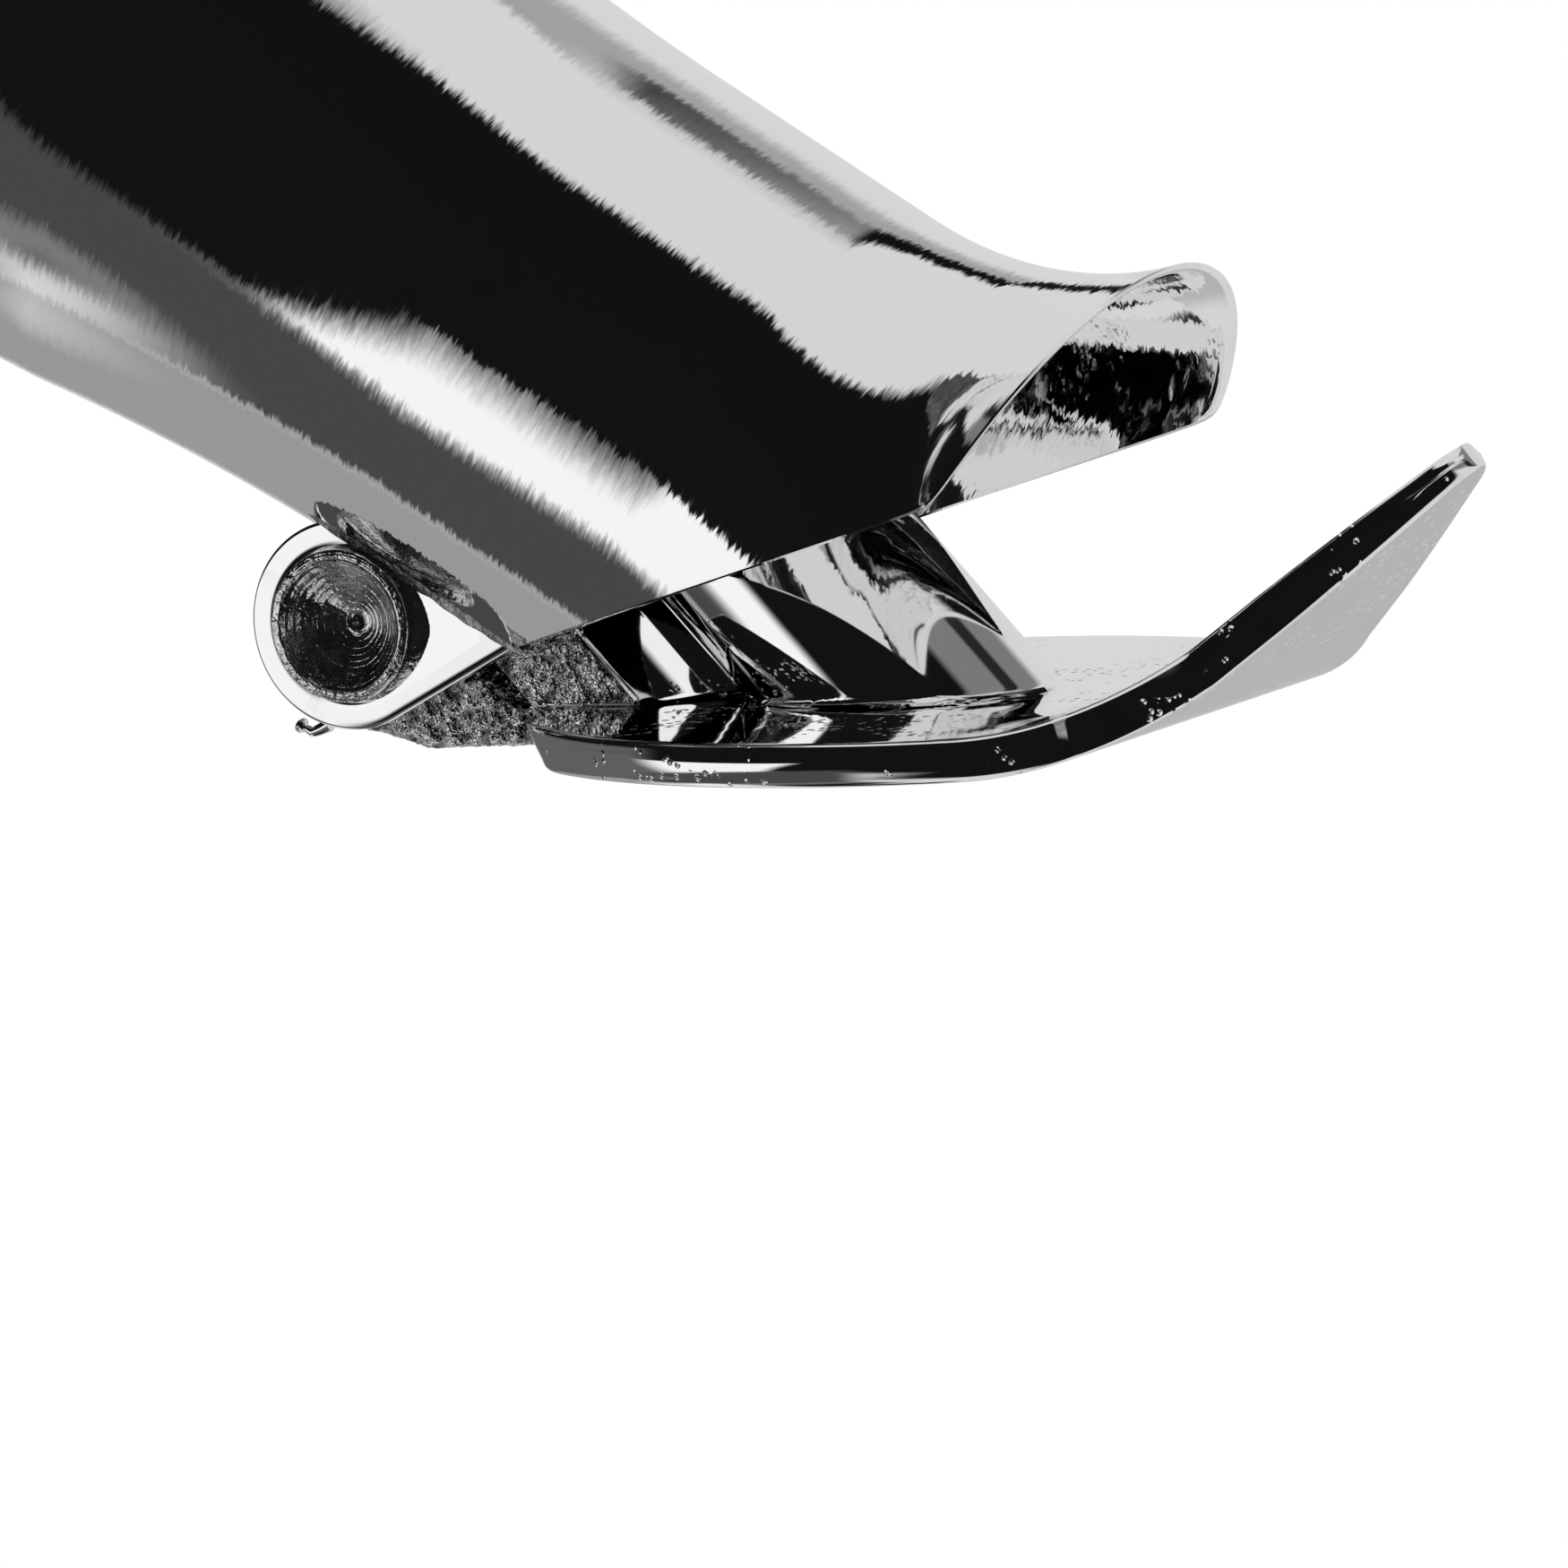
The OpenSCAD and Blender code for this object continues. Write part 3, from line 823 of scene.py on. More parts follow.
def makeStopper():
    d = stopper
    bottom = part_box("finned_stopper")[0].z
    profile = [(d["bore"], bottom), (d["noseRadius"] - 0.4 * mm, bottom)]
    profile += arc((d["noseRadius"] - 0.4 * mm, bottom + 0.4 * mm), 0.4 * mm, -60, 0, 5)
    profile += [(d["core"], bottom + d["nose"])]
    for i in range(d["fins"] - 1, -1, -1):
        base = -d["finThickness"] - i * d["finPitch"]
        rim = 0.34 * mm
        profile += arc((d["core"] + 0.5 * mm, base - 0.42 * mm), 0.5 * mm, 180, 100, 6)
        profile += [(d["core"] + 1.2 * mm, base + 0.12 * mm)]
        profile += arc((d["fin"] - rim, base + rim + 0.12 * mm), rim, -70, 60, 8)
        profile += [(d["core"] + 1 * mm, base + 1.16 * mm)]
        if i:
            hollow = (d["core"] + 0.4 * mm, base + d["finThickness"] + 0.2 * mm)
            profile += arc(hollow, 0.4 * mm, 250, 180, 6)
    r = d["flangeRadius"]
    profile += [(d["core"] + 0.8 * mm, -0.02 * mm), (r - 0.3 * mm, 0)]
    profile += arc((r - 0.35 * mm, 0.35 * mm), 0.35 * mm, -80, 0, 6)
    profile += arc((r - 0.35 * mm, d["flange"] - 0.35 * mm), 0.35 * mm, 0, 88, 6)
    profile += [(d["bore"], d["flange"])]
    return turned("finnedStopper", "spout", profile, 200, 40)


def makeSleeve():
    low, high = (v.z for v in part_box("core_sleeve"))
    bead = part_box("finned_stopper")[0].z - sleeve["bead"]
    r = sleeve["radius"]
    inner = r - sleeve["wall"]
    profile = [(inner, low + 0.1 * mm), (inner + 0.1 * mm, low), (r - 0.12 * mm, low), (r, low + 0.12 * mm)]
    profile += [(r, bead - 0.7 * mm)]
    profile += arc((r, bead), sleeve["bead"], -78, 78, 14)
    profile += [(r, bead + 0.7 * mm), (r, high - 0.1 * mm)]
    profile += [(r - 0.1 * mm, high), (inner, high)]
    profile += [(inner, bead + 0.8 * mm)]
    profile += arc((inner, bead), 0.4 * mm, 70, -70, 8)
    profile += [(inner, bead - 0.8 * mm)]
    return turned("coreSleeve", "spout", profile, 160)


def makeBreather():
    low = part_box("breather_tube")[0].z
    off = sleeve["radius"] - sleeve["wall"] - breather["radius"] + 0.02 * mm
    longest = pathLength + footZ - low
    rings = []
    steps = breather["steps"]
    stations = [longest + (breather["stop"] - longest) * k / steps for k in range(steps + 1)]
    for wall in (0, breather["wall"]):
        r = breather["radius"] - wall
        side = []
        for k, s in enumerate(stations):
            t = 0 if s > pathLength else tiltAt(s)
            c = Vector((0, 0, footZ - (s - pathLength))) if s > pathLength else centreAt(s)
            ends = 0.05 * mm if k in (0, steps) else 0
            q = r - ends if not wall else r + ends
            ring = []
            for i in range(breather["around"]):
                a = math.tau * i / breather["around"]
                x = q * math.cos(a) - off
                ring.append(Vector((c.x + x * math.cos(t), q * math.sin(a), c.z - x * math.sin(t))))
            side.append(ring)
        rings += side if not wall else side[::-1]
    return fromRings("breatherTube", "spout", rings, loop=True, creaseAngle=35)


# helpers that wire up shader nodes
def link(tree, source, target):
    tree.links.new(source, target)


def feed(tree, socket, value):
    if isinstance(value, bpy.types.NodeSocket):
        tree.links.new(value, socket)
    else:
        socket.default_value = value


def calc(tree, operation, *values):
    node = tree.nodes.new("ShaderNodeMath")
    node.operation = operation
    for socket, value in zip(node.inputs, values):
        feed(tree, socket, value)
    return node.outputs[0]


def dot(tree, vector, axis):
    node = tree.nodes.new("ShaderNodeVectorMath")
    node.operation = "DOT_PRODUCT"
    feed(tree, node.inputs[0], vector)
    node.inputs[1].default_value = axis
    return node.outputs["Value"]


def stretch(tree, vector, scale):
    node = tree.nodes.new("ShaderNodeVectorMath")
    node.operation = "MULTIPLY"
    feed(tree, node.inputs[0], vector)
    feed(tree, node.inputs[1], scale)
    return node.outputs["Vector"]


def ramp(tree, value, low, high, start=0.0, end=1.0):
    node = tree.nodes.new("ShaderNodeMapRange")
    node.interpolation_type = "SMOOTHSTEP"
    feed(tree, node.inputs["Value"], value)
    feed(tree, node.inputs["From Min"], low)
    feed(tree, node.inputs["From Max"], high)
    feed(tree, node.inputs["To Min"], start)
    feed(tree, node.inputs["To Max"], end)
    return node.outputs["Result"]


def grain(tree, vector, scale, detail=2.0, roughness=0.5, warp=0.0):
    node = tree.nodes.new("ShaderNodeTexNoise")
    feed(tree, node.inputs["Vector"], vector)
    feed(tree, node.inputs["Scale"], scale)
    node.inputs["Detail"].default_value = detail
    node.inputs["Roughness"].default_value = roughness
    node.inputs["Distortion"].default_value = warp
    return node.outputs[0]


def blendColour(tree, share, a, b):
    node = tree.nodes.new("ShaderNodeMix")
    node.data_type = "RGBA"
    feed(tree, node.inputs["Factor"], share)
    feed(tree, node.inputs["A"], a)
    feed(tree, node.inputs["B"], b)
    return node.outputs["Result"]


def newGroup(name, inputs, outputs):
    group = bpy.data.node_groups.new(name, "ShaderNodeTree")
    for label, kind, value in inputs:
        socket = group.interface.new_socket(label, in_out="INPUT", socket_type="NodeSocket" + kind)
        if value is not None:
            socket.default_value = value
    for label, kind in outputs:
        group.interface.new_socket(label, in_out="OUTPUT", socket_type="NodeSocket" + kind)
    return group, group.nodes.new("NodeGroupInput").outputs, group.nodes.new("NodeGroupOutput").inputs


def place(tree, group, **values):
    node = tree.nodes.new("ShaderNodeGroup")
    node.node_tree = group
    for label, value in values.items():
        feed(tree, node.inputs[label], value)
    return node.outputs


# effects that several finishes share
def makePolishLines():
    # fine lines left by the polishing belt, which run round the piece: X is round it, Y along it, in metres
    group, given, out = newGroup("polishLines", [("Vector", "Vector", None), ("Round", "Float", 1500.0),
                                 ("Along", "Float", 9000.0), ("Lean", "Float", 0.1)],
                                 [("Slope", "Color"), ("Mask", "Float")])
    scale = group.nodes.new("ShaderNodeCombineXYZ")
    link(group, given["Round"], scale.inputs[0])
    link(group, given["Along"], scale.inputs[1])
    scale.inputs[2].default_value = 1
    lines = stretch(group, given["Vector"], scale.outputs[0])
    coarse = grain(group, lines, 1.0, 2.0, 0.5)
    fine = grain(group, lines, 2.7, 1.0, 0.5)
    both = calc(group, "ADD", calc(group, "SUBTRACT", coarse, 0.5),
                calc(group, "MULTIPLY", calc(group, "SUBTRACT", fine, 0.5), 0.6))
    lean = group.nodes.new("ShaderNodeCombineXYZ")
    link(group, calc(group, "MULTIPLY_ADD", both, given["Lean"], 0.5), lean.inputs[0])
    lean.inputs[1].default_value = 0.5
    lean.inputs[2].default_value = 1
    link(group, lean.outputs[0], out["Slope"])
    link(group, ramp(group, coarse, 0.45, 0.7), out["Mask"])
    return group


def makeSoftWaves():
    # the slow unevenness that polishing leaves in bent or cast metal
    group, given, out = newGroup("softWaves", [("Vector", "Vector", None), ("Scale", "Float", 250.0)],
                                 [("Height", "Float")])
    link(group, grain(group, given["Vector"], given["Scale"], 1.0, 0.4), out["Height"])
    return group


def makePlatingPits():
    # small round bubbles and pits in plated castings, in patches
    group, given, out = newGroup("platingPits", [("Vector", "Vector", None), ("Scale", "Float", 5000.0),
                                 ("Amount", "Float", 0.3)], [("Height", "Float"), ("Mask", "Float")])
    cells = group.nodes.new("ShaderNodeTexVoronoi")
    link(group, given["Vector"], cells.inputs["Vector"])
    link(group, given["Scale"], cells.inputs["Scale"])
    bump = ramp(group, cells.outputs["Distance"], 0.05, 0.36, 1.0, 0.0)
    patch = grain(group, given["Vector"], calc(group, "MULTIPLY", given["Scale"], 0.14), 2.0, 0.6)
    chosen = calc(group, "GREATER_THAN", calc(group, "ADD", patch, given["Amount"]), 0.75)
    pits = calc(group, "MULTIPLY", bump, chosen)
    link(group, pits, out["Height"])
    link(group, pits, out["Mask"])
    return group


def makeEdgeWear():
    # a mask of the outer edges, where hands and bottles rub
    group, given, out = newGroup("edgeWear", [("Vector", "Vector", None), ("Scale", "Float", 900.0)],
                                 [("Mask", "Float")])
    bends = group.nodes.new("ShaderNodeNewGeometry").outputs["Pointiness"]
    edges = ramp(group, bends, 0.5, 0.56)
    patchy = ramp(group, grain(group, given["Vector"], given["Scale"], 3.0, 0.6), 0.35, 0.65)
    link(group, calc(group, "MULTIPLY", edges, patchy), out["Mask"])
    return group


def makeDust():
    # pale dust on what faces the shelf's air
    group, given, out = newGroup("dust", [("Vector", "Vector", None), ("Scale", "Float", 1500.0),
                                 ("Amount", "Float", 0.3)], [("Mask", "Float")])
    facing = dot(group, group.nodes.new("ShaderNodeNewGeometry").outputs["Normal"], (0, 0, 1))
    specks = ramp(group, grain(group, given["Vector"], given["Scale"], 4.0, 0.65), 0.42, 0.7)
    share = calc(group, "MULTIPLY", ramp(group, facing, -0.3, 0.9), specks)
    link(group, calc(group, "MULTIPLY", share, given["Amount"]), out["Mask"])
    return group


polishLines = makePolishLines()
softWaves = makeSoftWaves()
platingPits = makePlatingPits()
edgeWear = makeEdgeWear()
dust = makeDust()
print("shared effects made")


def newMaterial(name):
    material = bpy.data.materials.new(name)
    material.use_nodes = True
    tree = material.node_tree
    shader = tree.nodes["Principled BSDF"]
    where = tree.nodes.new("ShaderNodeTexCoord").outputs["Object"]
    return material, tree, shader, where


def bumpFrom(tree, height, distance, strength=1.0, under=None):
    # distance is the height in metres that a full step of the pattern stands for
    node = tree.nodes.new("ShaderNodeBump")
    node.inputs["Strength"].default_value = strength
    node.inputs["Distance"].default_value = distance
    link(tree, height, node.inputs["Height"])
    if under:
        link(tree, under, node.inputs["Normal"])
    return node.outputs["Normal"]


chrome = {
    "colour": (0.93, 0.932, 0.935, 1),
    "worn": (0.86, 0.858, 0.85, 1),
    "roughness": 0.035,
    "lineLean": 0.04,
    "waveHeight": 0.012 * mm,
    "castWave": 0.016 * mm,
    "pitHeight": 0.03 * mm,
    "gritHeight": 0.2 * mm,
}


def makeChromeTube():
    material, tree, shader, where = newMaterial("chromeTube")
    shader.inputs["Metallic"].default_value = 1
    uv = tree.nodes.new("ShaderNodeUVMap")
    uv.uv_map = "wrap"
    waves = place(tree, softWaves, Vector=where, Scale=230.0)
    lines = place(tree, polishLines, Vector=uv.outputs["UV"], Round=1300.0, Along=9000.0,
                  Lean=chrome["lineLean"])
    leaning = tree.nodes.new("ShaderNodeNormalMap")
    leaning.uv_map = "wrap"
    link(tree, lines["Slope"], leaning.inputs["Color"])
    normal = bumpFrom(tree, waves["Height"], chrome["waveHeight"], under=leaning.outputs["Normal"])
    link(tree, normal, shader.inputs["Normal"])
    wear = place(tree, edgeWear, Vector=where, Scale=900.0)
    tone = blendColour(tree, wear["Mask"], chrome["colour"], chrome["worn"])
    link(tree, tone, shader.inputs["Base Color"])
    link(tree, ramp(tree, lines["Mask"], 0.0, 1.0, chrome["roughness"], chrome["roughness"] + 0.02),
         shader.inputs["Roughness"])
    return material


def makeChromeCast(name, pitted, wave):
    material, tree, shader, where = newMaterial(name)
    shader.inputs["Metallic"].default_value = 1
    waves = place(tree, softWaves, Vector=where, Scale=420.0)
    pits = place(tree, platingPits, Vector=where, Scale=4200.0, Amount=pitted)
    normal = bumpFrom(tree, waves["Height"], wave)
    normal = bumpFrom(tree, pits["Height"], chrome["pitHeight"], under=normal)
    link(tree, normal, shader.inputs["Normal"])
    wear = place(tree, edgeWear, Vector=where, Scale=1200.0)
    tone = blendColour(tree, wear["Mask"], chrome["colour"], chrome["worn"])
    link(tree, tone, shader.inputs["Base Color"])
    link(tree, ramp(tree, pits["Mask"], 0.0, 1.0, chrome["roughness"], 0.16), shader.inputs["Roughness"])
    return material


def makeCastRough():
    # plated straight over the sand casting, not polished first
    material, tree, shader, where = newMaterial("castRough")
    shader.inputs["Metallic"].default_value = 1
    pits = place(tree, platingPits, Vector=where, Scale=3600.0, Amount=0.75)
    fine = grain(tree, where, 3000.0, 3.0, 0.6)
    normal = bumpFrom(tree, pits["Height"], chrome["pitHeight"] * 1.4)
    normal = bumpFrom(tree, fine, chrome["gritHeight"], under=normal)
    link(tree, normal, shader.inputs["Normal"])
    tone = blendColour(tree, ramp(tree, fine, 0.35, 0.6), (0.16, 0.16, 0.16, 1), chrome["colour"])
    link(tree, tone, shader.inputs["Base Color"])
    link(tree, ramp(tree, fine, 0.3, 0.7, 0.05, 0.14), shader.inputs["Roughness"])
    return material


def makeRivetTurned():
    material, tree, shader, where = newMaterial("rivetTurned")
    shader.inputs["Metallic"].default_value = 1
    away = tree.nodes.new("ShaderNodeVectorMath")
    away.operation = "SUBTRACT"
    link(tree, where, away.inputs[0])
    away.inputs[1].default_value = pin
    flat = stretch(tree, away.outputs["Vector"], (1, 0, 1))
    length = tree.nodes.new("ShaderNodeVectorMath")
    length.operation = "LENGTH"
    link(tree, flat, length.inputs[0])
    radius = length.outputs["Value"]
    spin = tree.nodes.new("ShaderNodeCombineXYZ")
    link(tree, calc(tree, "MULTIPLY", radius, 14000.0), spin.inputs[0])
    chatter = grain(tree, where, 2600.0, 3.0, 0.65)
    link(tree, calc(tree, "MULTIPLY", chatter, 1.2), spin.inputs[1])
    rings = grain(tree, spin.outputs[0], 1.0, 2.0, 0.6)
    normal = bumpFrom(tree, rings, 0.02 * mm)
    normal = bumpFrom(tree, chatter, 0.05 * mm, under=normal)
    link(tree, normal, shader.inputs["Normal"])
    tone = blendColour(tree, rings, (0.5, 0.5, 0.5, 1), (0.92, 0.92, 0.92, 1))
    link(tree, tone, shader.inputs["Base Color"])
    link(tree, ramp(tree, chatter, 0.3, 0.7, 0.07, 0.2), shader.inputs["Roughness"])
    return material


def makeBrazeMetal():
    material, tree, shader, where = newMaterial("brazeMetal")
    shader.inputs["Metallic"].default_value = 1
    lumps = grain(tree, where, 2600.0, 4.0, 0.65, 0.4)
    pits = place(tree, platingPits, Vector=where, Scale=6000.0, Amount=0.4)
    normal = bumpFrom(tree, lumps, 0.09 * mm)
    normal = bumpFrom(tree, pits["Height"], 0.02 * mm, under=normal)
    link(tree, normal, shader.inputs["Normal"])
    tone = blendColour(tree, lumps, (0.25, 0.25, 0.25, 1), (0.85, 0.85, 0.85, 1))
    link(tree, tone, shader.inputs["Base Color"])
    link(tree, ramp(tree, lumps, 0.3, 0.7, 0.3, 0.12), shader.inputs["Roughness"])
    return material


def makeDrawnSteel():
    material, tree, shader, where = newMaterial("drawnSteel")
    shader.inputs["Metallic"].default_value = 1
    drawn = grain(tree, stretch(tree, where, (9000, 9000, 260)), 1.0, 3.0, 0.6)
    waves = place(tree, softWaves, Vector=where, Scale=300.0)
    normal = bumpFrom(tree, waves["Height"], 0.01 * mm)
    normal = bumpFrom(tree, drawn, 0.004 * mm, under=normal)
    link(tree, normal, shader.inputs["Normal"])
    wear = place(tree, edgeWear, Vector=where, Scale=900.0)
    base = blendColour(tree, drawn, (0.5, 0.5, 0.49, 1), (0.66, 0.66, 0.65, 1))
    link(tree, blendColour(tree, wear["Mask"], base, (0.75, 0.75, 0.74, 1)), shader.inputs["Base Color"])
    link(tree, ramp(tree, drawn, 0.3, 0.7, 0.2, 0.36), shader.inputs["Roughness"])
    return material


def makeStopperRubber():
    material, tree, shader, where = newMaterial("stopperRubber")
    mottle = grain(tree, where, 700.0, 4.0, 0.6)
    skin = grain(tree, where, 9000.0, 3.0, 0.6)
    waves = place(tree, softWaves, Vector=where, Scale=180.0)
    normal = bumpFrom(tree, waves["Height"], 0.05 * mm)
    normal = bumpFrom(tree, skin, 0.012 * mm, under=normal)
    link(tree, normal, shader.inputs["Normal"])
    base = blendColour(tree, mottle, (0.012, 0.012, 0.013, 1), (0.026, 0.026, 0.027, 1))
    wear = place(tree, edgeWear, Vector=where, Scale=1100.0)
    scuffed = blendColour(tree, wear["Mask"], base, (0.09, 0.09, 0.09, 1))
    specks = place(tree, dust, Vector=where, Scale=1900.0, Amount=0.22)
    dusty = blendColour(tree, specks["Mask"], scuffed, (0.35, 0.34, 0.32, 1))
    link(tree, dusty, shader.inputs["Base Color"])
    link(tree, ramp(tree, mottle, 0.3, 0.7, 0.42, 0.58), shader.inputs["Roughness"])
    return material


chromeTube = makeChromeTube()
chromeSmooth = makeChromeCast("chromeSmooth", 0.0, chrome["castWave"] * 0.35)
chromeCast = makeChromeCast("chromeCast", 0.22, chrome["castWave"])
castRough = makeCastRough()
rivetTurned = makeRivetTurned()
brazeMetal = makeBrazeMetal()
drawnSteel = makeDrawnSteel()
stopperRubber = makeStopperRubber()
print("materials made")


# studio: what the chrome mirrors, and the soft light
studio = {
    "mirrored": 0.7,
    "fill": 0.8,
    # each sheet or flag: its brightness, then its edges as (right, up, off, least, softness)
    # right and up are the angles in degrees round the main view, off is the angle from the spout's line
    # the sheet lies where right * a + up * b + off * c is over the least
    "sheets": [
        (0.47, [(1, 0, 0, 157, 4), (0, -1, 0, 2, 6), (0, 1, 0, -42, 8)]),
        (0.38, [(0.5, 1, 0, 119, 4), (-0.5, -1, 0, -131, 4), (1, 0, 0, 126, 6)]),
        (0.006, [(0.5, 1, 0, 126, 1.6), (-0.5, -1, 0, -133, 1.6), (1, 0, 0, 134, 4), (0, 0, -1, -71, 1)]),
        (0.01, [(2, 1, 0, -330, 2), (-2, -1, 0, 321, 2), (-1, 0, 0, 164, 4), (0, 0, -1, -71, 1)]),
        (0.2, [(1, 0, 0, 16, 6), (-1, 0, 0, -128, 8), (0, 1, 0, 25, 8), (0, -1, 0, -60, 5)]),
        (0.02, [(1, 0, 0, 70, 4), (-1, 0, 0, -92, 4), (0, 1, 0, 25, 8), (0, -1, 0, -60, 5)]),
        (0.006, [(0, -1, 0, -62, 2), (1, -1.25, 0, -190, 5), (-1, -0.6, 0, -50, 6), (0.35, 1, 0, -50, 6)]),
        (0.97, [(-0.7, -1, 0.9, 99.5, 1.5), (-1, 0.48, 0, 47, 3), (0, 1, 0, -26.5, 2), (1, 0, 0, -100, 6)]),
        (0.12, [(0, -1, 0, -8, 6), (0, 1, 0, -30, 3), (1, 0, 0, -170, 8), (-1, 0, 0, 90, 6)]),
        (0.065, [(0, -1, 0, 27, 2.5), (0, 1, 0, -46, 4), (1, 0, 0, -113, 4), (-1, 0, 0, 38, 6)]),
        (0.95, [(0, 1, 0, -56, 3), (0, -1, 0, 50, 3), (-1, 0, 0, 110, 8)]),
        (0.33, [(-0.38, -1, 0, 76.5, 4), (0.26, 1, 0, -79, 4), (-1, 0, 0, 113, 4)]),
        (0.12, [(0, -1, 0, 45, 4), (0, 1, 0, -62, 3), (1, 0, 0, -95, 8), (-1, 0, 0, 38, 6)]),
        (0.012, [(0, -1, 0, 61, 3), (0, 1, 0, -78, 5), (-1, 0, 0, 40, 10)]),
        (0.03, [(-0.43, -1, 0, 124, 3), (0.43, 1, 0, -140, 3), (-1, 0, 0, 150, 8)]),
    ],
    "floorRadius": 130 * mm,
    "keyPower": 1.6,
}


def makeStudio():
    scene = bpy.context.scene
    scene.view_settings.view_transform = "Standard"
    world = bpy.data.worlds.new("studio")
    world.use_nodes = True
    scene.world = world
    tree = world.node_tree
    tree.nodes.clear()
    turn = scene.camera.matrix_world.to_3x3()
    direction = tree.nodes.new("ShaderNodeTexCoord").outputs["Generated"]
    right = dot(tree, direction, turn.col[0])
    up = dot(tree, direction, turn.col[1])
    near = dot(tree, direction, turn.col[2])
    angles = tree.nodes.new("ShaderNodeCombineXYZ")
    degrees = 180 / math.pi
    link(tree, calc(tree, "MULTIPLY", calc(tree, "ARCTAN2", right, near), degrees), angles.inputs[0])
    link(tree, calc(tree, "MULTIPLY", calc(tree, "ARCSINE", up), degrees), angles.inputs[1])
    off = calc(tree, "ARCCOSINE", dot(tree, direction, -alongTube))
    link(tree, calc(tree, "MULTIPLY", off, degrees), angles.inputs[2])
    seen = studio["mirrored"]
    for brightness, edges in studio["sheets"]:
        mask = None
        for a, b, c, least, soft in edges:
            side = ramp(tree, dot(tree, angles.outputs[0], (a, b, c)), least - soft, least + soft)
            mask = calc(tree, "MULTIPLY", mask, side) if mask else side
        node = tree.nodes.new("ShaderNodeMix")
        feed(tree, node.inputs[0], mask)
        feed(tree, node.inputs[2], seen)
        feed(tree, node.inputs[3], brightness)
        seen = node.outputs[0]
    path = tree.nodes.new("ShaderNodeLightPath")
    mirrored = calc(tree, "MULTIPLY", seen, path.outputs["Is Glossy Ray"])
    others = calc(tree, "SUBTRACT", 1.0, calc(tree, "MAXIMUM", path.outputs["Is Glossy Ray"],
                                              path.outputs["Is Camera Ray"]))
    total = calc(tree, "ADD", mirrored, path.outputs["Is Camera Ray"])
    total = calc(tree, "MULTIPLY_ADD", others, studio["fill"], total)
    shine = tree.nodes.new("ShaderNodeBackground")
    shine.inputs["Color"].default_value = (1, 1, 1, 1)
    link(tree, total, shine.inputs["Strength"])
    link(tree, shine.outputs[0], tree.nodes.new("ShaderNodeOutputWorld").inputs["Surface"])


def makeFloor():
    low = cadBox[0].z - 0.02 * mm
    steps = 96
    points = [(0, 0, low)]
    faces = []
    for k in range(1, 13):
        r = studio["floorRadius"] * k / 12
        for i in range(steps):
            a = math.tau * i / steps
            points.append((r * math.cos(a), r * math.sin(a), low))
    for i in range(steps):
        faces.append((0, 1 + i, 1 + (i + 1) % steps))
    for k in range(11):
        for i in range(steps):
            j = (i + 1) % steps
            a = 1 + k * steps
            faces.append((a + i, a + steps + i, a + steps + j, a + j))
    mesh = bpy.data.meshes.new("floor")
    mesh.from_pydata(points, [], faces)
    floor = bpy.data.objects.new("floor", mesh)
    bpy.context.collection.objects.link(floor)
    floor.visible_glossy = False
    material, tree, shader, where = newMaterial("paleFloor")
    far = tree.nodes.new("ShaderNodeVectorMath")
    far.operation = "LENGTH"
    link(tree, stretch(tree, where, (1, 1, 0)), far.inputs[0])
    edge = studio["floorRadius"]
    fade = ramp(tree, far.outputs["Value"], 0.55 * edge, 0.98 * edge, 1.0, 0.0)
    link(tree, fade, shader.inputs["Alpha"])
    speckle = grain(tree, where, 240.0, 3.0, 0.6)
    tone = blendColour(tree, speckle, (0.86, 0.86, 0.86, 1), (0.9, 0.9, 0.9, 1))
    link(tree, tone, shader.inputs["Base Color"])
    shader.inputs["Roughness"].default_value = 0.8
    mesh.materials.append(material)


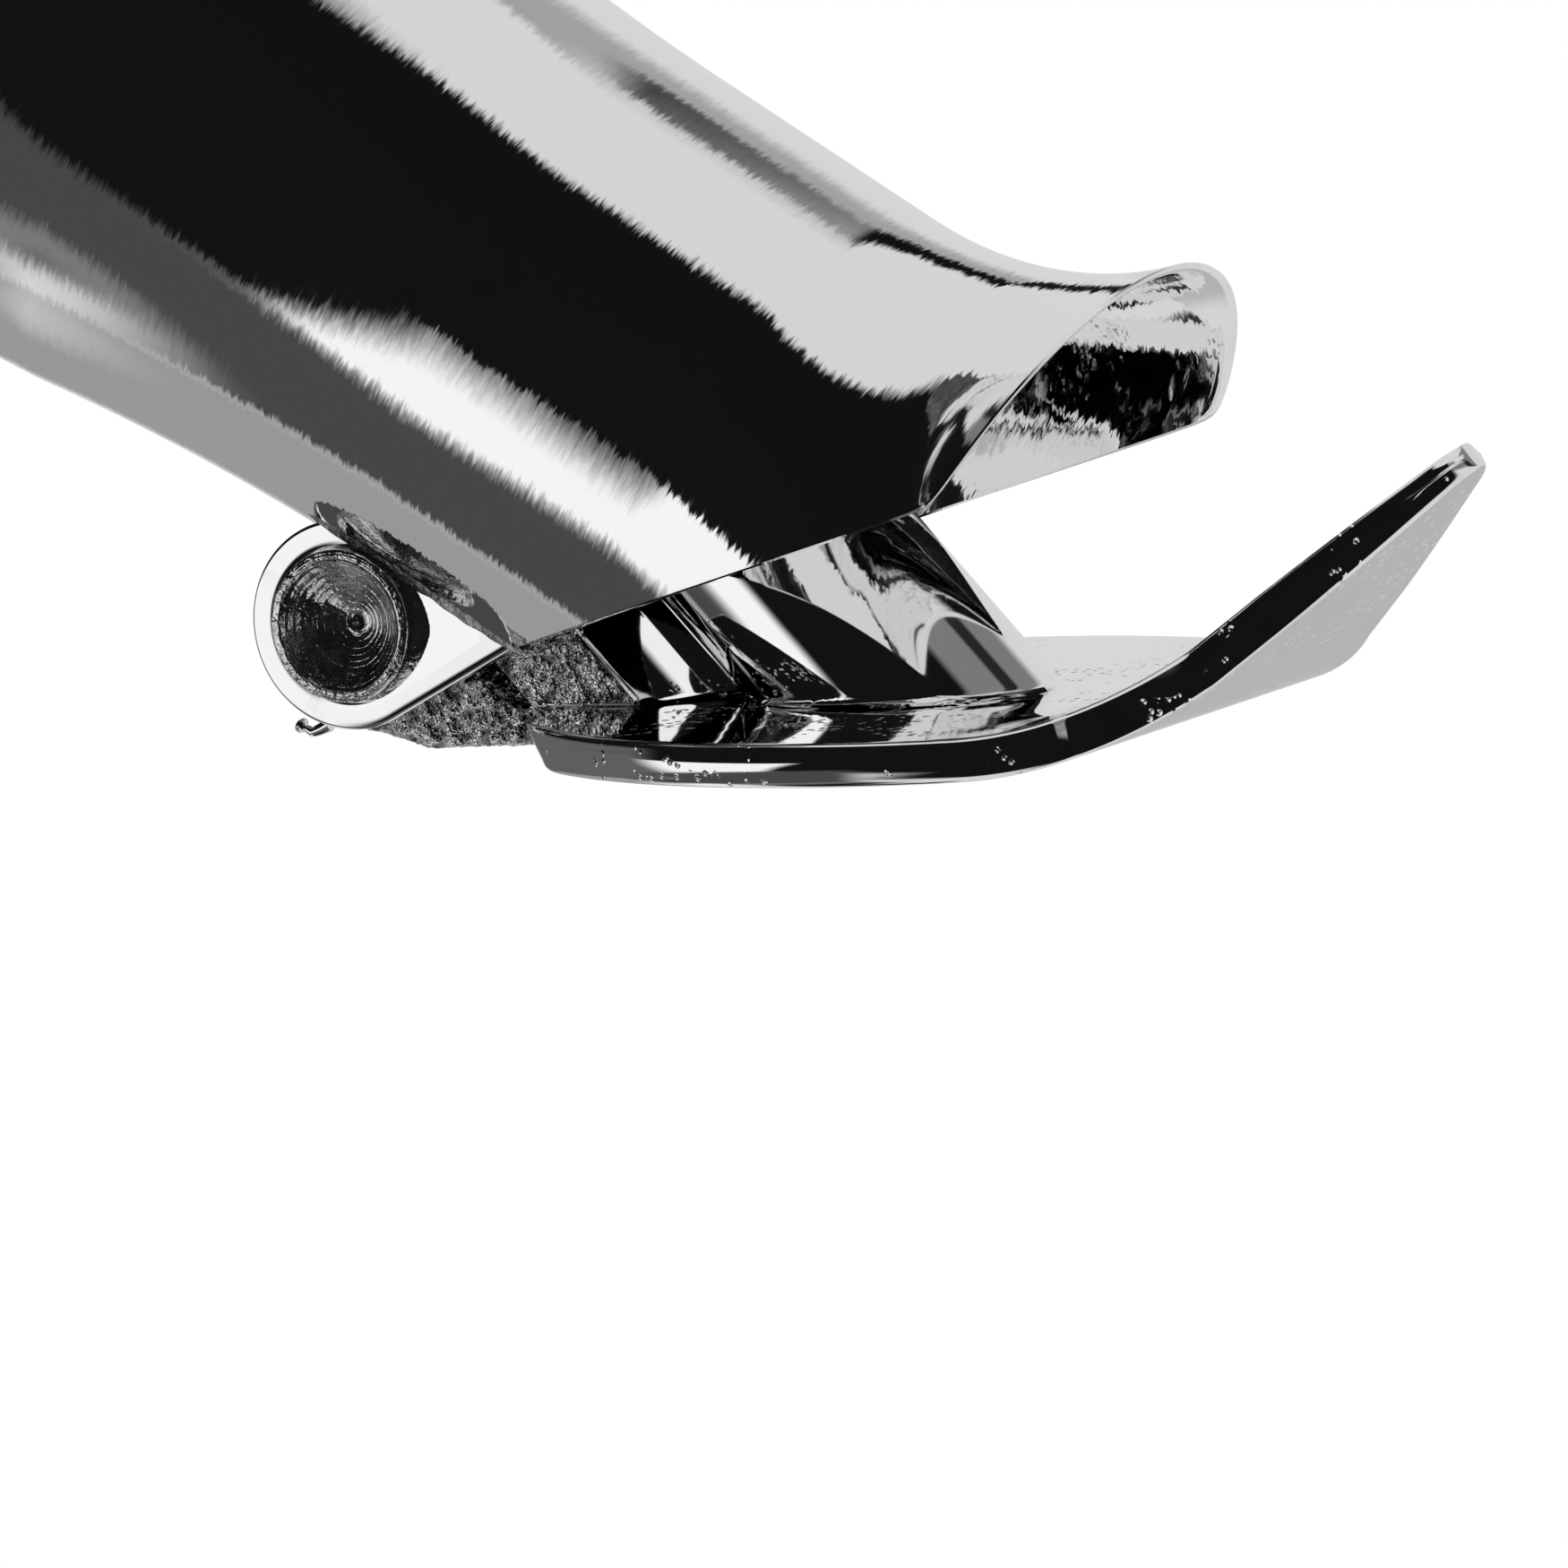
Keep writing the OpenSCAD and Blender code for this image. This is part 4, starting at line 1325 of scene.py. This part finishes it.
def addSoftLight(name, spot, aim, size, power):
    data = bpy.data.lights.new(name, "AREA")
    data.shape = "DISK"
    data.size = size
    data.energy = power
    lamp = bpy.data.objects.new(name, data)
    bpy.context.collection.objects.link(lamp)
    turn = (Vector(spot) - Vector(aim)).to_track_quat("Z", "Y").to_matrix().to_4x4()
    lamp.matrix_world = Matrix.Translation(spot) @ turn
    lamp.visible_glossy = False
    lamp.visible_camera = False


makeStudio()
makeFloor()
addSoftLight("keyLight", (0.18, 0.22, 0.3), (0, 0, 0), 0.25, studio["keyPower"])
addSoftLight("rimLight", (-0.25, -0.12, 0.12), (0, 0, -0.01), 0.2, studio["keyPower"] * 0.5)
print("studio made")


# build the pieces
def stand(piece, slot, material, *nodes):
    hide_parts(*nodes)
    piece.data.materials.clear()
    piece.data.materials.append(material)
    return piece


def roughFaces(piece, chosen):
    # gives the faces that chosen(face) picks the unpolished finish
    piece.data.materials.append(castRough)
    for face in piece.data.polygons:
        if chosen(face):
            face.material_index = 1


spoutTube = stand(makeSpoutTube(), "chrome_tube", chromeTube, "spout_tube")
print("spout tube:", len(spoutTube.data.vertices), "points")
leftLug = stand(makeLug("leftLug", 1), "chrome_casting", chromeSmooth, "left_hinge_lug")
rightLug = stand(makeLug("rightLug", -1), "chrome_casting", chromeSmooth, "right_hinge_lug")
hingeRivet = stand(makeRivet(), "rivet_metal", rivetTurned, "hinge_rivet")
brazeBead = stand(makeBraze(), "braze", brazeMetal, "lug_braze")
platingBurr = stand(makeBurr(), "chrome_casting", chromeCast, "left_hinge_lug")
print("hinge made")
flapPlate = stand(makePlate(), "chrome_casting", chromeCast, "flap")
flapPlug = stand(makePlug(), "chrome_casting", chromeSmooth, "flap")
flapBlock = stand(makeBlock(), "chrome_casting", chromeCast, "flap")
roughFaces(flapBlock, lambda face: abs(face.normal.y) > 0.9)
flapArm = stand(makeArm(), "chrome_casting", castRough, "flap")
print("flap made")
collarRing = stand(makeCollar(), "chrome_tube", chromeSmooth, "collar_ring")
finnedStopper = stand(makeStopper(), "stopper_rubber", stopperRubber, "finned_stopper")
coreSleeve = stand(makeSleeve(), "steel_tube", drawnSteel, "core_sleeve")
breatherTube = stand(makeBreather(), "steel_tube", drawnSteel, "breather_tube")
print("stopper, sleeve and breather made")
